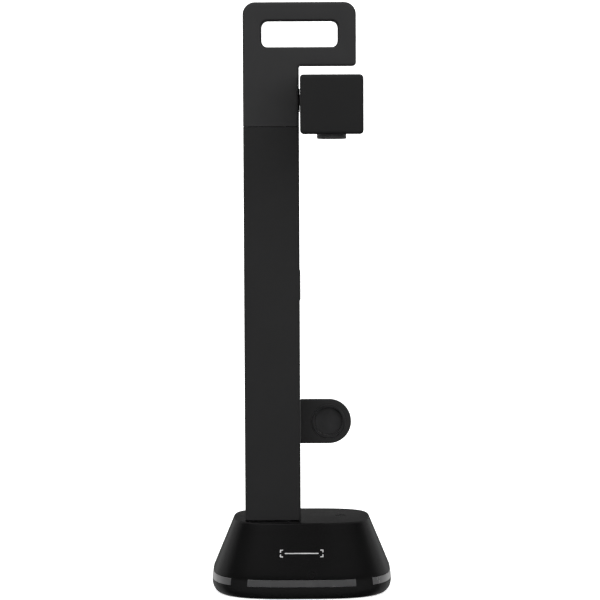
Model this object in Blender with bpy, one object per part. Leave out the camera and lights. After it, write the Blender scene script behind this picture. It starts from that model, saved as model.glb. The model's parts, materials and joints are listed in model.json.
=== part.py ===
"""Document camera: weighted base, column with a carrying handle, and a fold-down camera arm.

Metres, +Z up.  The origin is the middle of the base's resting face, the arm reaches
forward along -Y, and it folds down beside the column about a hinge parallel to X.
"""

import math

import bmesh
import bpy
from mathutils import Vector

MM = 0.001
GAP = 0.3

# Driving dimensions in millimetres.
BASE_TOP_Z = 46.4
BASE_FOOT_Z = 0.2
BASE_A = 59.5
BASE_B = 55.0
BASE_POWER = 3.4
BASE_POINTS = 48
BASE_INNER_A = 56.1
BASE_INNER_B = 52.1
BASE_MOUTH_A = 52.6
BASE_MOUTH_B = 48.6
TOP_A = 45.2
TOP_B = 32.9
STRIP_Z = (8.0, 12.7)
STRIP_DEPTH = 1.5
STRIP_LEAN = 0.5
STRIP_FRONT_X = 35.8
STRIP_SIDE_Y = 46.5
BALLAST_Z = (4.3, 12.0)
POST_X = 40.0
POST_Y = 25.0
POST_Z = (4.2, 35.5)
POST_RADIUS = 3.5
BOARD_Z = (15.0, 16.6)
BOARD_CENTRE_X = 13.0
KEY_X = 26.3
KEY_Y = 0.0
KEY_RADIUS = 3.4
KEY_FLANGE_RADIUS = 4.8

COLUMN_X = (-37.1, -0.5)
COLUMN_Y = (-22.0, 22.0)
COLUMN_Z = (46.8, 305.9)
COLUMN_WALL = 2.0
EDGE_RADIUS = 2.2
SPLIT_Y = -2.0
SPINE_X = (-29.6, -7.6)
SPINE_Y = (-15.0, 11.0)
SPINE_Z = (14.8, 302.0)
SPINE_WALL = 1.6

HEAD_BOTTOM_Z = 306.2
HEAD_TOP_Z = 386.9
HEAD_RIGHT_X = 36.8
CROSSBAR_Z = 345.15
HEAD_CORNER = 8.0
HEAD_WALL = 2.2
SLOT_X = 25.2
SLOT_Z = (357.7, 374.85)
SLOT_CORNER = 4.4
HANDLE_SCREW_X = 30.9
HANDLE_SCREW_Z = 366.1

HINGE_Y = -2.0
HINGE_Z = 322.9
SHAFT_RADIUS = 3.5
COLLAR_X = (-1.4, 0.0)
COLLAR_RADIUS = 7.65

ARM_X = (0.3, 36.8)
ARM_HALF_HEIGHT = 17.05
ARM_TOP_RISE = 0.45
ARM_FRONT_Y = -234.5
ARM_WALL = 2.0
ARM_EDGE_RADIUS = 2.3
COVER_REAR_Y = -24.0
COVER_Z = HINGE_Z - ARM_HALF_HEIGHT + 0.3
COVER_THICKNESS = 2.2
COVER_SEAT = 1.1
INNER_SEAT_Z = 309.4
HUB_SCREW_X = 10.0
HUB_BAR_HALF = 4.4
LENS_X = 18.4
LENS_Y = -217.4
LENS_RADIUS = 8.65
LENS_DROP = 3.05
LED_Y = -194.0

DOCK_X = 18.8
DOCK_Z = HINGE_Z - (HINGE_Y - LENS_Y)
DOCK_HALF_HEIGHT = 14.8
DOCK_Y = (15.8, 22.0)
CUP_FLOOR_Y = 20.2
CUP_POCKET_RADIUS = 11.7
CUP_RIM_RADIUS = 11.4
CUP_BORE_RADIUS = 9.5
DOCK_SCREW_Y = 17.9
DOCK_SCREW_DZ = 6.8
TONGUE_Y = (16.5, 19.5)
TONGUE_HALF_HEIGHT = 14.6

BUMPER_Z = (191.3, 210.6)
BUMPER_HALF_DEPTH = 9.0
BUMPER_RISE = 0.5

USB_X = 13.0
USB_Z = 18.6
USB_Y = (43.0, 50.3)


# Shape helpers, all taking millimetres.

def clear_scene():
    """Remove every object that the file opened with."""
    for obj in list(bpy.data.objects):
        bpy.data.objects.remove(obj, do_unlink=True)


def make_material(name, colour, roughness, metallic=0.0, alpha=1.0):
    """Return a Principled material."""
    material = bpy.data.materials.new(name)
    material.use_nodes = True
    shader = material.node_tree.nodes["Principled BSDF"]
    shader.inputs["Base Color"].default_value = (*colour, 1.0)
    shader.inputs["Roughness"].default_value = roughness
    shader.inputs["Metallic"].default_value = metallic
    shader.inputs["Alpha"].default_value = alpha
    material.diffuse_color = (*colour, alpha)
    return material


def finish_mesh(bm, name, material):
    """Turn a closed bmesh into an object in metres, with its faces pointing out."""
    bmesh.ops.recalc_face_normals(bm, faces=bm.faces)
    bmesh.ops.scale(bm, vec=(MM, MM, MM), verts=bm.verts)
    mesh = bpy.data.meshes.new(name)
    bm.to_mesh(mesh)
    bm.free()
    mesh.shade_smooth()
    mesh.set_sharp_from_angle(angle=math.radians(35))
    obj = bpy.data.objects.new(name, mesh)
    bpy.context.scene.collection.objects.link(obj)
    if material is not None:
        mesh.materials.append(material)
    return obj


def loft(name, rings, material=None, closed=False):
    """Join equal rings of points side by side, capped at both ends unless closed."""
    bm = bmesh.new()
    rows = [[bm.verts.new(point) for point in ring] for ring in rings]
    count = len(rows[0])
    pairs = list(zip(rows, rows[1:]))
    if closed:
        pairs.append((rows[-1], rows[0]))
    for low, high in pairs:
        for i in range(count):
            j = (i + 1) % count
            bm.faces.new((low[i], low[j], high[j], high[i]))
    if not closed:
        bm.faces.new(rows[0])
        bm.faces.new(rows[-1])
    return finish_mesh(bm, name, material)


def box(name, low, high, material=None):
    """A box between two corners."""
    (x0, y0, z0), (x1, y1, z1) = low, high
    rings = [[(x0, y0, z), (x1, y0, z), (x1, y1, z), (x0, y1, z)] for z in (z0, z1)]
    return loft(name, rings, material)


def soft_box(name, low, high, chamfer, material):
    """A box whose edges are chamfered by a Bevel modifier."""
    obj = box(name, low, high, material)
    bevel = obj.modifiers.new("edge", "BEVEL")
    bevel.width = chamfer * MM
    bevel.segments = 2
    bevel.limit_method = "ANGLE"
    return obj


def axis_frame(axis):
    """Return two unit vectors that complete a turning axis."""
    if axis == "X":
        return Vector((0, 1, 0)), Vector((0, 0, 1)), Vector((1, 0, 0))
    if axis == "Y":
        return Vector((0, 0, 1)), Vector((1, 0, 0)), Vector((0, 1, 0))
    return Vector((1, 0, 0)), Vector((0, 1, 0)), Vector((0, 0, 1))


def turned(name, centre, axis, profile, material=None, points=24, hollow=False):
    """Turn a profile of (distance along the axis, radius) pairs about an axis.

    The centre gives the axis's position; a hollow profile is a closed loop, so the
    piece is a ring with a bore.
    """
    across, up, along = axis_frame(axis)
    base = Vector(centre)
    rings = []
    for distance, radius in profile:
        ring = []
        for i in range(points):
            angle = 2 * math.pi * i / points
            offset = across * math.cos(angle) * radius + up * math.sin(angle) * radius
            ring.append(base + along * distance + offset)
        rings.append(ring)
    return loft(name, rings, material, closed=hollow)


def squircle(a, b, z, points=BASE_POINTS):
    """Points of a superellipse outline at height z."""
    ring = []
    for i in range(points):
        angle = 2 * math.pi * (i + 0.5) / points
        ring.append(squircle_point(a, b, z, angle))
    return ring


def squircle_point(a, b, z, angle):
    """One point of the superellipse outline."""
    cosine, sine = math.cos(angle), math.sin(angle)
    x = math.copysign(abs(cosine) ** (2 / BASE_POWER), cosine) * a
    y = math.copysign(abs(sine) ** (2 / BASE_POWER), sine) * b
    return (x, y, z)


def inset_corners(corners, weights, inset):
    """Move each edge of a counterclockwise polygon inward by inset times its weight."""
    count = len(corners)
    lines = []
    for i in range(count):
        start, end = Vector(corners[i]), Vector(corners[(i + 1) % count])
        along = (end - start).normalized()
        normal = Vector((-along.y, along.x))
        lines.append((start + normal * inset * weights[i], along))
    moved = []
    for i in range(count):
        p, d = lines[i - 1]
        q, e = lines[i]
        cross = d.x * e.y - d.y * e.x
        step = ((q.x - p.x) * e.y - (q.y - p.y) * e.x) / cross
        moved.append(p + d * step)
    return moved


def rounded_outline(corners, radii, weights, inset, steps):
    """A polygon with rounded corners, moved inward by inset; point count stays fixed."""
    moved = inset_corners(corners, weights, inset)
    count = len(moved)
    outline = []
    for i in range(count):
        here = moved[i]
        back = (moved[i - 1] - here).normalized()
        ahead = (moved[(i + 1) % count] - here).normalized()
        if radii[i] == 0:
            outline.append(here)
            continue
        convex = back.x * ahead.y - back.y * ahead.x < 0
        radius = max(radii[i] - inset if convex else radii[i] + inset, 0.15)
        half = math.acos(max(-1.0, min(1.0, back.dot(ahead)))) / 2
        centre = here + (back + ahead).normalized() * (radius / math.sin(half))
        start = here + back * (radius / math.tan(half)) - centre
        end = here + ahead * (radius / math.tan(half)) - centre
        sweep = start.angle_signed(end)
        for k in range(steps + 1):
            angle = math.atan2(start.y, start.x) - sweep * k / steps
            outline.append(centre + Vector((math.cos(angle), math.sin(angle))) * radius)
    return outline


def edge_steps(radius, steps=3):
    """(advance, inset) pairs along a quarter-round edge."""
    pairs = []
    for k in range(steps + 1):
        angle = math.pi / 2 * k / steps
        pairs.append((radius * (1 - math.cos(angle)), radius * (1 - math.sin(angle))))
    return pairs


def rect_outline(x0, x1, z0, z1, radius, inset=0.0, steps=5):
    """A rounded rectangle."""
    corners = [(x0, z0), (x1, z0), (x1, z1), (x0, z1)]
    return rounded_outline(corners, [radius] * 4, [1] * 4, inset, steps)


def boolean(target, cutter, operation):
    """Apply a Boolean with a helper body, which stays as a hidden wire guide."""
    cutter.hide_render = True
    cutter.display_type = "WIRE"
    modifier = target.modifiers.new(operation.lower(), "BOOLEAN")
    modifier.operation = operation
    modifier.object = cutter
    modifier.solver = "EXACT"


def cut(target, cutter):
    """Remove a guide body from a target."""
    boolean(target, cutter, "DIFFERENCE")


def fuse(target, extra):
    """Add a guide body to a target."""
    boolean(target, extra, "UNION")


def pin_guide(name, centre, axis, start, end, radius, points=24):
    """A plain cylinder used as a guide."""
    return turned(name, centre, axis, [(start, radius), (end, radius)], None, points)


def pan_screw(name, centre, axis, seat, sign, head, shank, length, material):
    """A pan-head screw; sign is the way the shank runs from the head's seat."""
    height = head * 0.7
    profile = [
        (seat - sign * height, head * 0.3),
        (seat - sign * height, head * 0.72),
        (seat - sign * height * 0.55, head),
        (seat, head),
        (seat, shank),
        (seat + sign * (length - shank), shank),
        (seat + sign * length, shank * 0.35),
    ]
    return turned(name, centre, axis, profile, material, 14)


# Base.

def base_shell(material):
    """Tapered squircle cover, open underneath, with screw posts and a board ledge."""
    foot = [(BASE_FOOT_Z, 4.2, 1.0), (1.1, 2.9, 0.5), (2.3, 1.7, 0.2), (4.2, 0.6, 0.0), (6.8, 0.0, 0.0)]
    knee = [(10.0, 0.0, 0.0), (12.2, 0.4, 0.4), (14.4, 1.3, 1.3), (16.4, 2.3, 2.3)]
    outer = [(z, BASE_A - side, BASE_B - front) for z, side, front in foot + knee]
    outer += [
        (BASE_TOP_Z - 0.9, TOP_A, TOP_B),
        (BASE_TOP_Z - 0.25, TOP_A - 0.5, TOP_B - 0.7),
        (BASE_TOP_Z, TOP_A - 1.3, TOP_B - 1.6),
    ]
    inner = [
        (BASE_TOP_Z - 2.8, TOP_A - 2.5, TOP_B - 2.7),
        (15.6, BASE_INNER_A - 1.8, BASE_INNER_B - 2.0),
        (12.6, BASE_INNER_A, BASE_INNER_B),
        (6.6, BASE_INNER_A, BASE_INNER_B),
        (4.6, BASE_MOUTH_A, BASE_MOUTH_B),
        (BASE_FOOT_Z, BASE_MOUTH_A, BASE_MOUTH_B),
    ]
    shell = base_skin("base_shell", outer, inner, material)
    for sx in (-1, 1):
        for sy in (-1, 1):
            place = (sx * POST_X, sy * POST_Y, 0)
            tag = f"{'lr'[sx > 0]}{'fb'[sy > 0]}"
            fuse(shell, pin_guide(f"guide_post_{tag}", place, "Z", *POST_Z, POST_RADIUS, 14))
            cut(shell, pin_guide(f"guide_pilot_{tag}", place, "Z", 2.0, 16.0, 1.3, 10))
    for tag, dy in (("front", -8.5), ("rear", 8.5)):
        place = (KEY_X, KEY_Y + dy, 0)
        fuse(shell, pin_guide(f"guide_ledge_{tag}", place, "Z", 37.0, 44.5, 1.8, 12))
    for name, low, high in strip_spans():
        cut(shell, strip_band(f"guide_groove_{name}", low, high, STRIP_DEPTH, -2.0, 0.0))
    low = (SPINE_X[0] - 0.6, SPINE_Y[0] - 0.6, 40.0)
    high = (SPINE_X[1] + 0.6, SPINE_Y[1] + 0.6, 50.0)
    cut(shell, box("guide_spine_hole", low, high))
    cut(shell, pin_guide("guide_key_hole", (KEY_X, KEY_Y, 0), "Z", 40.0, 50.0, KEY_RADIUS + GAP, 32))
    low = (USB_X - 5.2, 40.0, USB_Z - 2.3)
    high = (USB_X + 5.2, 60.0, USB_Z + 2.3)
    cut(shell, box("guide_usb_hole", low, high))
    return shell


def base_skin(name, outer, inner, material):
    """One closed skin: up the outside, across the top, and back down the inside."""
    bm = bmesh.new()
    rows = []
    for z, a, b in outer + inner:
        rows.append([bm.verts.new(point) for point in squircle(a, b, z)])
    count = BASE_POINTS
    top = len(outer) - 1
    order = [(i, i + 1) for i in range(len(rows) - 1) if i != top]
    order.append((len(rows) - 1, 0))
    for low, high in order:
        for i in range(count):
            j = (i + 1) % count
            bm.faces.new((rows[low][i], rows[low][j], rows[high][j], rows[high][i]))
    bm.faces.new(rows[top])
    bm.faces.new(rows[top + 1])
    return finish_mesh(bm, name, material)


def angle_at_x(x):
    """Outline angle of the point on the front edge at distance x from the middle."""
    return -math.acos((abs(x) / BASE_A) ** (BASE_POWER / 2))


def angle_at_y(y):
    """Outline angle of the point on the right side at distance y from the middle."""
    return math.copysign(math.asin((abs(y) / BASE_B) ** (BASE_POWER / 2)), y)


def strip_spans():
    """Name and outline angle range of the three strips."""
    front = angle_at_x(STRIP_FRONT_X)
    side = angle_at_y(STRIP_SIDE_Y)
    return [
        ("front", -math.pi - front, front),
        ("right", -side, side),
        ("left", math.pi - side, math.pi + side),
    ]


def strip_band(name, low, high, inner, outer, trim, material=None):
    """A strip that follows the base's outline between two angles."""
    shorten = 0.005 * trim
    steps = 14
    rings = []
    for i in range(steps + 1):
        angle = low + shorten + (high - low - 2 * shorten) * i / steps
        ring = []
        for depth, z in ((inner, 0), (outer, 0), (outer + STRIP_LEAN * trim, 1), (inner, 1)):
            height = STRIP_Z[z] + (1 - 2 * z) * GAP * trim
            ring.append(squircle_point(BASE_A - depth, BASE_B - depth, height, angle))
        rings.append(ring)
    return loft(name, rings, material)


def trim_strips(material):
    """The three grey strips let into the foot of the base."""
    for name, low, high in strip_spans():
        strip_band(f"trim_strip_{name}", low, high, STRIP_DEPTH - GAP, 0.1, 1.0, material)


def base_plate(material):
    """Bottom plate that closes the base, with countersunk screw holes."""
    a, b = BASE_MOUTH_A - GAP, BASE_MOUTH_B - GAP
    plate = loft("base_bottom_plate", [squircle(a, b, 1.5), squircle(a, b, 3.9)], material)
    for sx in (-1, 1):
        for sy in (-1, 1):
            profile = [(0.5, 3.2), (2.5, 3.2), (2.5, 1.5), (5.0, 1.5)]
            place = (sx * POST_X, sy * POST_Y, 0)
            tag = f"{'lr'[sx > 0]}{'fb'[sy > 0]}"
            cut(plate, turned(f"guide_plate_hole_{tag}", place, "Z", profile, None, 12))
    return plate


def base_screws(material):
    """Four screws that hold the bottom plate to the shell's posts."""
    for sx in (-1, 1):
        for sy in (-1, 1):
            place = (sx * POST_X, sy * POST_Y, 0)
            name = f"base_screw_{'front' if sy < 0 else 'rear'}_{'left' if sx < 0 else 'right'}"
            profile = [(1.6, 1.0), (1.6, 2.8), (2.2, 2.8), (2.2, 1.0), (12.0, 1.0), (13.0, 0.4)]
            turned(name, place, "Z", profile, material, 12)


def anti_slip_mat(material):
    """Thin rubber mat that the whole object rests on."""
    a, b = BASE_MOUTH_A - 0.5, BASE_MOUTH_B - 0.5
    rings = [squircle(a - 0.6, b - 0.6, 0.0), squircle(a, b, 0.5), squircle(a, b, 1.2)]
    return loft("anti_slip_mat", rings, material)


def ballast(material):
    """Steel weight that keeps the arm from tipping the object."""
    a, b = BASE_MOUTH_A - 0.6, BASE_MOUTH_B - 2.6
    rings = [squircle(a, b, BALLAST_Z[0]), squircle(a, b, BALLAST_Z[1])]
    weight = loft("ballast_weight", rings, material)
    for sx in (-1, 1):
        for sy in (-1, 1):
            tag = f"{'lr'[sx > 0]}{'fb'[sy > 0]}"
            place = (sx * POST_X, sy * POST_Y, 0)
            cut(weight, pin_guide(f"guide_ballast_{tag}", place, "Z", 3.0, 14.0, 3.9, 12))
    for tag, y in spine_screw_places():
        place = (spine_centre_x(), y, 0)
        cut(weight, pin_guide(f"guide_tapping_{tag}", place, "Z", 6.0, 14.0, 1.8, 12))
    return weight


def main_board(material):
    """Circuit board on two standoffs above the ballast."""
    half = 15.0
    low = (BOARD_CENTRE_X - half, -16.0, BOARD_Z[0])
    return soft_box("main_board", low, (BOARD_CENTRE_X + half, 45.5, BOARD_Z[1]), 0.2, material)


def board_standoffs(material):
    """Brass spacers under the circuit board."""
    for name, y in (("front", -10.0), ("rear", 34.0)):
        profile = [(BALLAST_Z[1] + GAP, 2.5), (BOARD_Z[0] - GAP, 2.5)]
        turned(f"board_standoff_{name}", (BOARD_CENTRE_X, y, 0), "Z", profile, material, 6)


def usb_socket(material):
    """Metal socket shell at the back of the base, open at its mouth."""
    low = (USB_X - 4.6, USB_Y[0], USB_Z - 1.7)
    high = (USB_X + 4.6, USB_Y[1], USB_Z + 1.7)
    socket = box("usb_socket", low, high, material)
    pocket_low = (low[0] + 0.5, USB_Y[0] + 1.0, low[2] + 0.5)
    pocket = box("guide_usb_pocket", pocket_low, (high[0] - 0.5, USB_Y[1] + 2.0, high[2] - 0.5))
    cut(socket, pocket)
    return socket


def usb_tongue(material):
    """Contact tongue inside the socket."""
    low = (USB_X - 3.2, USB_Y[0] + 1.3, USB_Z - 0.35)
    high = (USB_X + 3.2, USB_Y[1] - 1.1, USB_Z + 0.35)
    return box("usb_tongue", low, high, material)


def key_board(material):
    """Small board under the base's key."""
    return box("key_board", (KEY_X - 8.0, -10.5, 35.5), (KEY_X + 8.0, 10.5, 36.7), material)


def key_switch(material):
    """Dome switch on the key board."""
    return soft_box("key_switch", (KEY_X - 3.0, -3.0, 37.0), (KEY_X + 3.0, 3.0, 41.0), 0.3, material)


def capture_key(material, pivot):
    """Round key, flush with the base's top, with a flange that keeps it in."""
    profile = [
        (41.9, KEY_FLANGE_RADIUS),
        (43.1, KEY_FLANGE_RADIUS),
        (43.1, KEY_RADIUS),
        (46.0, KEY_RADIUS),
        (46.3, KEY_RADIUS - 0.3),
    ]
    key = turned("capture_key", (KEY_X, KEY_Y, 0), "Z", profile, material)
    attach(key, pivot)
    return key


# Column.

def spine_centre_x():
    """Middle of the column across X."""
    return (SPINE_X[0] + SPINE_X[1]) / 2


def spine_screw_places():
    """Name and Y of the two screws in the spine's foot."""
    return [("front", SPINE_Y[0] - 4.0), ("rear", SPINE_Y[1] + 4.0)]


def column_spine(material):
    """Rectangular steel tube with a foot flange, bolted to the ballast."""
    foot_z = BALLAST_Z[1] + GAP
    low = (SPINE_X[0], SPINE_Y[0], foot_z)
    high = (SPINE_X[1], SPINE_Y[1], SPINE_Z[1])
    spine = box("column_spine", low, high, material)
    foot_low = (SPINE_X[0] - 4.0, SPINE_Y[0] - 8.0, foot_z)
    foot_high = (SPINE_X[1] + 4.0, SPINE_Y[1] + 8.0, SPINE_Z[0])
    fuse(spine, box("guide_spine_foot", foot_low, foot_high))
    bore_low = (SPINE_X[0] + SPINE_WALL, SPINE_Y[0] + SPINE_WALL, 10.0)
    bore_high = (SPINE_X[1] - SPINE_WALL, SPINE_Y[1] - SPINE_WALL, 310.0)
    cut(spine, box("guide_spine_bore", bore_low, bore_high))
    for tag, y in spine_screw_places():
        place = (spine_centre_x(), y, 0)
        cut(spine, pin_guide(f"guide_foot_hole_{tag}", place, "Z", 10.0, 20.0, 2.1, 12))
    for tag, z in column_screw_places():
        place = (spine_centre_x(), 0, z)
        cut(spine, pin_guide(f"guide_spine_tap_{tag}", place, "Y", 5.0, 15.0, 1.6, 12))
    return spine


def spine_screws(material):
    """Two screws from the spine's foot into the ballast."""
    for tag, y in spine_screw_places():
        place = (spine_centre_x(), y, 0)
        pan_screw(f"spine_screw_{tag}", place, "Z", SPINE_Z[0] + GAP, -1, 3.4, 1.5, 8.0, material)


def column_outline(y_face, y_split, wall):
    """U-shaped section of one column shell, from its face to the parting plane."""
    x0, x1 = COLUMN_X
    sign = 1 if y_split > y_face else -1
    outer = []
    for advance, inset in edge_steps(EDGE_RADIUS):
        outer.append((x0 + inset, y_face + sign * advance))
    left = list(reversed(outer))
    right = [(x0 + x1 - x, y) for x, y in outer]
    inner_y = y_face + sign * wall
    section = [(x0, y_split)] + left + right + [(x1, y_split)]
    section += [(x1 - wall, y_split), (x1 - wall, inner_y), (x0 + wall, inner_y), (x0 + wall, y_split)]
    return section


def column_shell(name, y_face, y_split, material):
    """One moulded half of the column, extruded along Z."""
    section = column_outline(y_face, y_split, COLUMN_WALL)
    rings = [[(x, y, z) for x, y in section] for z in COLUMN_Z]
    return loft(name, rings, material)


def column_front(material):
    """Front half of the column."""
    shell = column_shell("column_front_shell", COLUMN_Y[0], SPLIT_Y - GAP / 2, material)
    cut(shell, bumper_recess("guide_bumper_front"))
    return shell


def column_screw_places():
    """Name and Z of the two screws through the back of the column."""
    return [("low", 78.0), ("high", 286.0)]


def column_rear(material):
    """Back half of the column, with screw bosses and the dock's seat."""
    shell = column_shell("column_rear_shell", COLUMN_Y[1], SPLIT_Y + GAP / 2, material)
    for tag, z in column_screw_places():
        place = (spine_centre_x(), 0, z)
        fuse(shell, pin_guide(f"guide_column_boss_{tag}", place, "Y", SPINE_Y[1] + GAP, 21.0, 3.6))
        profile = [(5.0, 1.6), (18.5, 1.6), (18.5, 2.8), (25.0, 2.8)]
        cut(shell, turned(f"guide_column_bore_{tag}", place, "Y", profile, None, 14))
    cut(shell, bumper_recess("guide_bumper_rear"))
    cut(shell, tongue_guide("guide_tongue_seat", GAP))
    for tag, dz in (("low", -DOCK_SCREW_DZ), ("high", DOCK_SCREW_DZ)):
        place = (0, DOCK_SCREW_Y, DOCK_Z + dz)
        cut(shell, pin_guide(f"guide_dock_pass_{tag}", place, "X", -5.0, 2.0, 1.4, 12))
    return shell


def column_screws(material):
    """Two screws through the back shell into the spine."""
    for tag, z in column_screw_places():
        place = (spine_centre_x(), 0, z)
        pan_screw(f"column_screw_{tag}", place, "Y", 18.8, -1, 2.5, 1.2, 10.5, material)


def bumper_recess(name):
    """Shallow seat for the bumper in the column's right wall."""
    low = (COLUMN_X[1] - 1.2, HINGE_Y - BUMPER_HALF_DEPTH - GAP, BUMPER_Z[0] - GAP)
    high = (COLUMN_X[1] + 2.0, HINGE_Y + BUMPER_HALF_DEPTH + GAP, BUMPER_Z[1] + GAP)
    return box(name, low, high)


def bumper_pad(material):
    """Rubber pad that the folded arm rests against."""
    low = (COLUMN_X[1] - 0.9, HINGE_Y - BUMPER_HALF_DEPTH, BUMPER_Z[0])
    high = (COLUMN_X[1] + BUMPER_RISE, HINGE_Y + BUMPER_HALF_DEPTH, BUMPER_Z[1])
    return soft_box("bumper_pad", low, high, 0.8, material)


# Head and carrying handle.

def head_corners(inset):
    """Outline of the head in X and Z: stem on the left, handle over both sides."""
    corners = [
        (COLUMN_X[0], HEAD_BOTTOM_Z),
        (COLUMN_X[1], HEAD_BOTTOM_Z),
        (COLUMN_X[1], CROSSBAR_Z),
        (HEAD_RIGHT_X, CROSSBAR_Z),
        (HEAD_RIGHT_X, HEAD_TOP_Z),
        (COLUMN_X[0], HEAD_TOP_Z),
    ]
    radii = [0, 0, 1.0, 2.6, HEAD_CORNER, HEAD_CORNER]
    weights = [0, 1, 1, 1, 1, 1]
    return rounded_outline(corners, radii, weights, inset, 5)


def head_outer(name, y_face, y_split, material):
    """Solid outer form of one head half, with a rounded outer edge."""
    sign = 1 if y_split > y_face else -1
    rings = []
    for advance, inset in edge_steps(EDGE_RADIUS):
        y = y_face + sign * advance
        rings.append([(p.x, y, p.y) for p in head_corners(inset)])
    rings.append([(p.x, y_split, p.y) for p in head_corners(0.0)])
    return loft(name, rings, material)


def head_cavity(name, y_face, y_split):
    """Hollow of one head half, open at the parting plane and downward."""
    sign = 1 if y_split > y_face else -1
    outline = head_corners(HEAD_WALL)
    lowered = [(p.x, p.y - 10.0 if p.y < HEAD_BOTTOM_Z + 0.01 else p.y) for p in outline]
    ys = (y_face + sign * HEAD_WALL, y_split + sign * 3.0)
    return loft(name, [[(x, y, z) for x, z in lowered] for y in ys])


def slot_outline(grow):
    """Rounded outline of the handle's slot, grown outward."""
    x = SLOT_X + grow
    return rect_outline(-x, x, SLOT_Z[0] - grow, SLOT_Z[1] + grow, SLOT_CORNER + grow)


def slot_guide(name, y_face, y_split):
    """Slot with a rounded lip at the outer face."""
    sign = 1 if y_split > y_face else -1
    rings = [[(p.x, y_face - sign * 2.0, p.y) for p in slot_outline(1.6)]]
    for advance, inset in edge_steps(1.6):
        rings.append([(p.x, y_face + sign * advance, p.y) for p in slot_outline(inset)])
    rings.append([(p.x, y_split + sign * 3.0, p.y) for p in slot_outline(0.0)])
    return loft(name, rings)


def head_shell(name, y_face, y_split, material):
    """One moulded half of the head: wall, slot surround and slot."""
    sign = 1 if y_split > y_face else -1
    tag = name.split("_")[1]
    shell = head_outer(name, y_face, y_split, material)
    cut(shell, head_cavity(f"guide_head_cavity_{tag}", y_face, y_split))
    rings = []
    for y in (y_face + sign * 1.0, y_split):
        rings.append([(p.x, y, p.y) for p in slot_outline(1.9)])
    fuse(shell, loft(f"guide_slot_wall_{tag}", rings))
    for side, x in (("left", -HANDLE_SCREW_X), ("right", HANDLE_SCREW_X)):
        place = (x, 0, HANDLE_SCREW_Z)
        post = pin_guide(f"guide_handle_post_{tag}_{side}", place, "Y", y_face + sign, y_split, 3.0)
        fuse(shell, post)
    cut(shell, slot_guide(f"guide_slot_{tag}", y_face, y_split))
    place = (0, HINGE_Y, HINGE_Z)
    cut(shell, pin_guide(f"guide_shaft_pass_{tag}", place, "X", -6.0, 4.0, SHAFT_RADIUS + 0.6))
    seat = COLLAR_X[0] - GAP
    cut(shell, pin_guide(f"guide_collar_seat_{tag}", place, "X", seat, 4.0, COLLAR_RADIUS + GAP, 28))
    return shell


def head_front(material):
    """Front half of the head."""
    shell = head_shell("head_front_shell", COLUMN_Y[0], SPLIT_Y - GAP / 2, material)
    for side, x in (("left", -HANDLE_SCREW_X), ("right", HANDLE_SCREW_X)):
        place = (x, 0, HANDLE_SCREW_Z)
        cut(shell, pin_guide(f"guide_handle_pilot_{side}", place, "Y", -16.0, 0.0, 1.4, 12))
    return shell


def head_rear(material):
    """Back half of the head, with counterbored screw holes."""
    shell = head_shell("head_rear_shell", COLUMN_Y[1], SPLIT_Y + GAP / 2, material)
    for side, x in (("left", -HANDLE_SCREW_X), ("right", HANDLE_SCREW_X)):
        profile = [(-5.0, 1.4), (17.5, 1.4), (17.5, 2.4), (25.0, 2.4)]
        place = (x, 0, HANDLE_SCREW_Z)
        cut(shell, turned(f"guide_handle_bore_{side}", place, "Y", profile, None, 14))
    return shell


def handle_screws(material):
    """Two screws that clamp the head halves together."""
    for side, x in (("left", -HANDLE_SCREW_X), ("right", HANDLE_SCREW_X)):
        place = (x, 0, HANDLE_SCREW_Z)
        pan_screw(f"handle_screw_{side}", place, "Y", 17.8, -1, 2.1, 1.1, 30.0, material)


# Hinge.

def hinge_bracket(material):
    """Steel channel in the top of the spine that carries the hinge shaft."""
    x0, x1 = SPINE_X[0] + SPINE_WALL + GAP, SPINE_X[1] - SPINE_WALL - GAP
    y0, y1 = SPINE_Y[0] + SPINE_WALL + GAP, SPINE_Y[1] - SPINE_WALL - GAP
    bracket = box("hinge_bracket", (x0, y0, 262.0), (x1, y1, 336.0), material)
    cut(bracket, box("guide_bracket_channel", (x0 + 2.0, y0 - 2.0, 260.0), (x1 - 2.0, y1 - 2.0, 340.0)))
    place = (0, HINGE_Y, HINGE_Z)
    cut(bracket, pin_guide("guide_bracket_bore", place, "X", -32.0, -5.0, SHAFT_RADIUS + GAP))
    place = (spine_centre_x(), 0, column_screw_places()[1][1])
    cut(bracket, pin_guide("guide_bracket_tap", place, "Y", 4.0, 14.0, 1.6, 12))
    return bracket


def hinge_shaft(material):
    """Turned steel shaft that is fixed in the bracket and carries the arm."""
    profile = [
        (-31.6, 5.2),
        (-31.2, 5.8),
        (-28.6, 5.8),
        (-28.6, SHAFT_RADIUS),
        (26.4, SHAFT_RADIUS),
        (27.0, SHAFT_RADIUS - 0.6),
    ]
    return turned("hinge_shaft", (0, HINGE_Y, HINGE_Z), "X", profile, material)


def ring_profile(start, end, inner, outer):
    """Closed profile of a plain ring."""
    return [(start, inner), (start, outer), (end, outer), (end, inner)]


def hinge_collar(material):
    """Black spacer ring, let into the head's side, that shows between the head and the arm."""
    profile = ring_profile(*COLLAR_X, SHAFT_RADIUS + GAP, COLLAR_RADIUS)
    place = (0, HINGE_Y, HINGE_Z)
    return turned("hinge_collar", place, "X", profile, material, 28, hollow=True)


def friction_washer(material):
    """Spring washer that gives the arm its friction."""
    profile = ring_profile(19.4, 20.4, SHAFT_RADIUS + GAP, 7.4)
    place = (0, HINGE_Y, HINGE_Z)
    return turned("friction_washer", place, "X", profile, material, 24, hollow=True)


def hinge_nut(material):
    """Hexagonal nut on the shaft's end."""
    place = (0, HINGE_Y, HINGE_Z)
    nut = turned("hinge_nut", place, "X", [(20.7, 7.2), (24.7, 7.2)], material, 6)
    cut(nut, pin_guide("guide_nut_bore", place, "X", 19.0, 26.0, SHAFT_RADIUS + GAP))
    return nut


# Dock.

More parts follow.
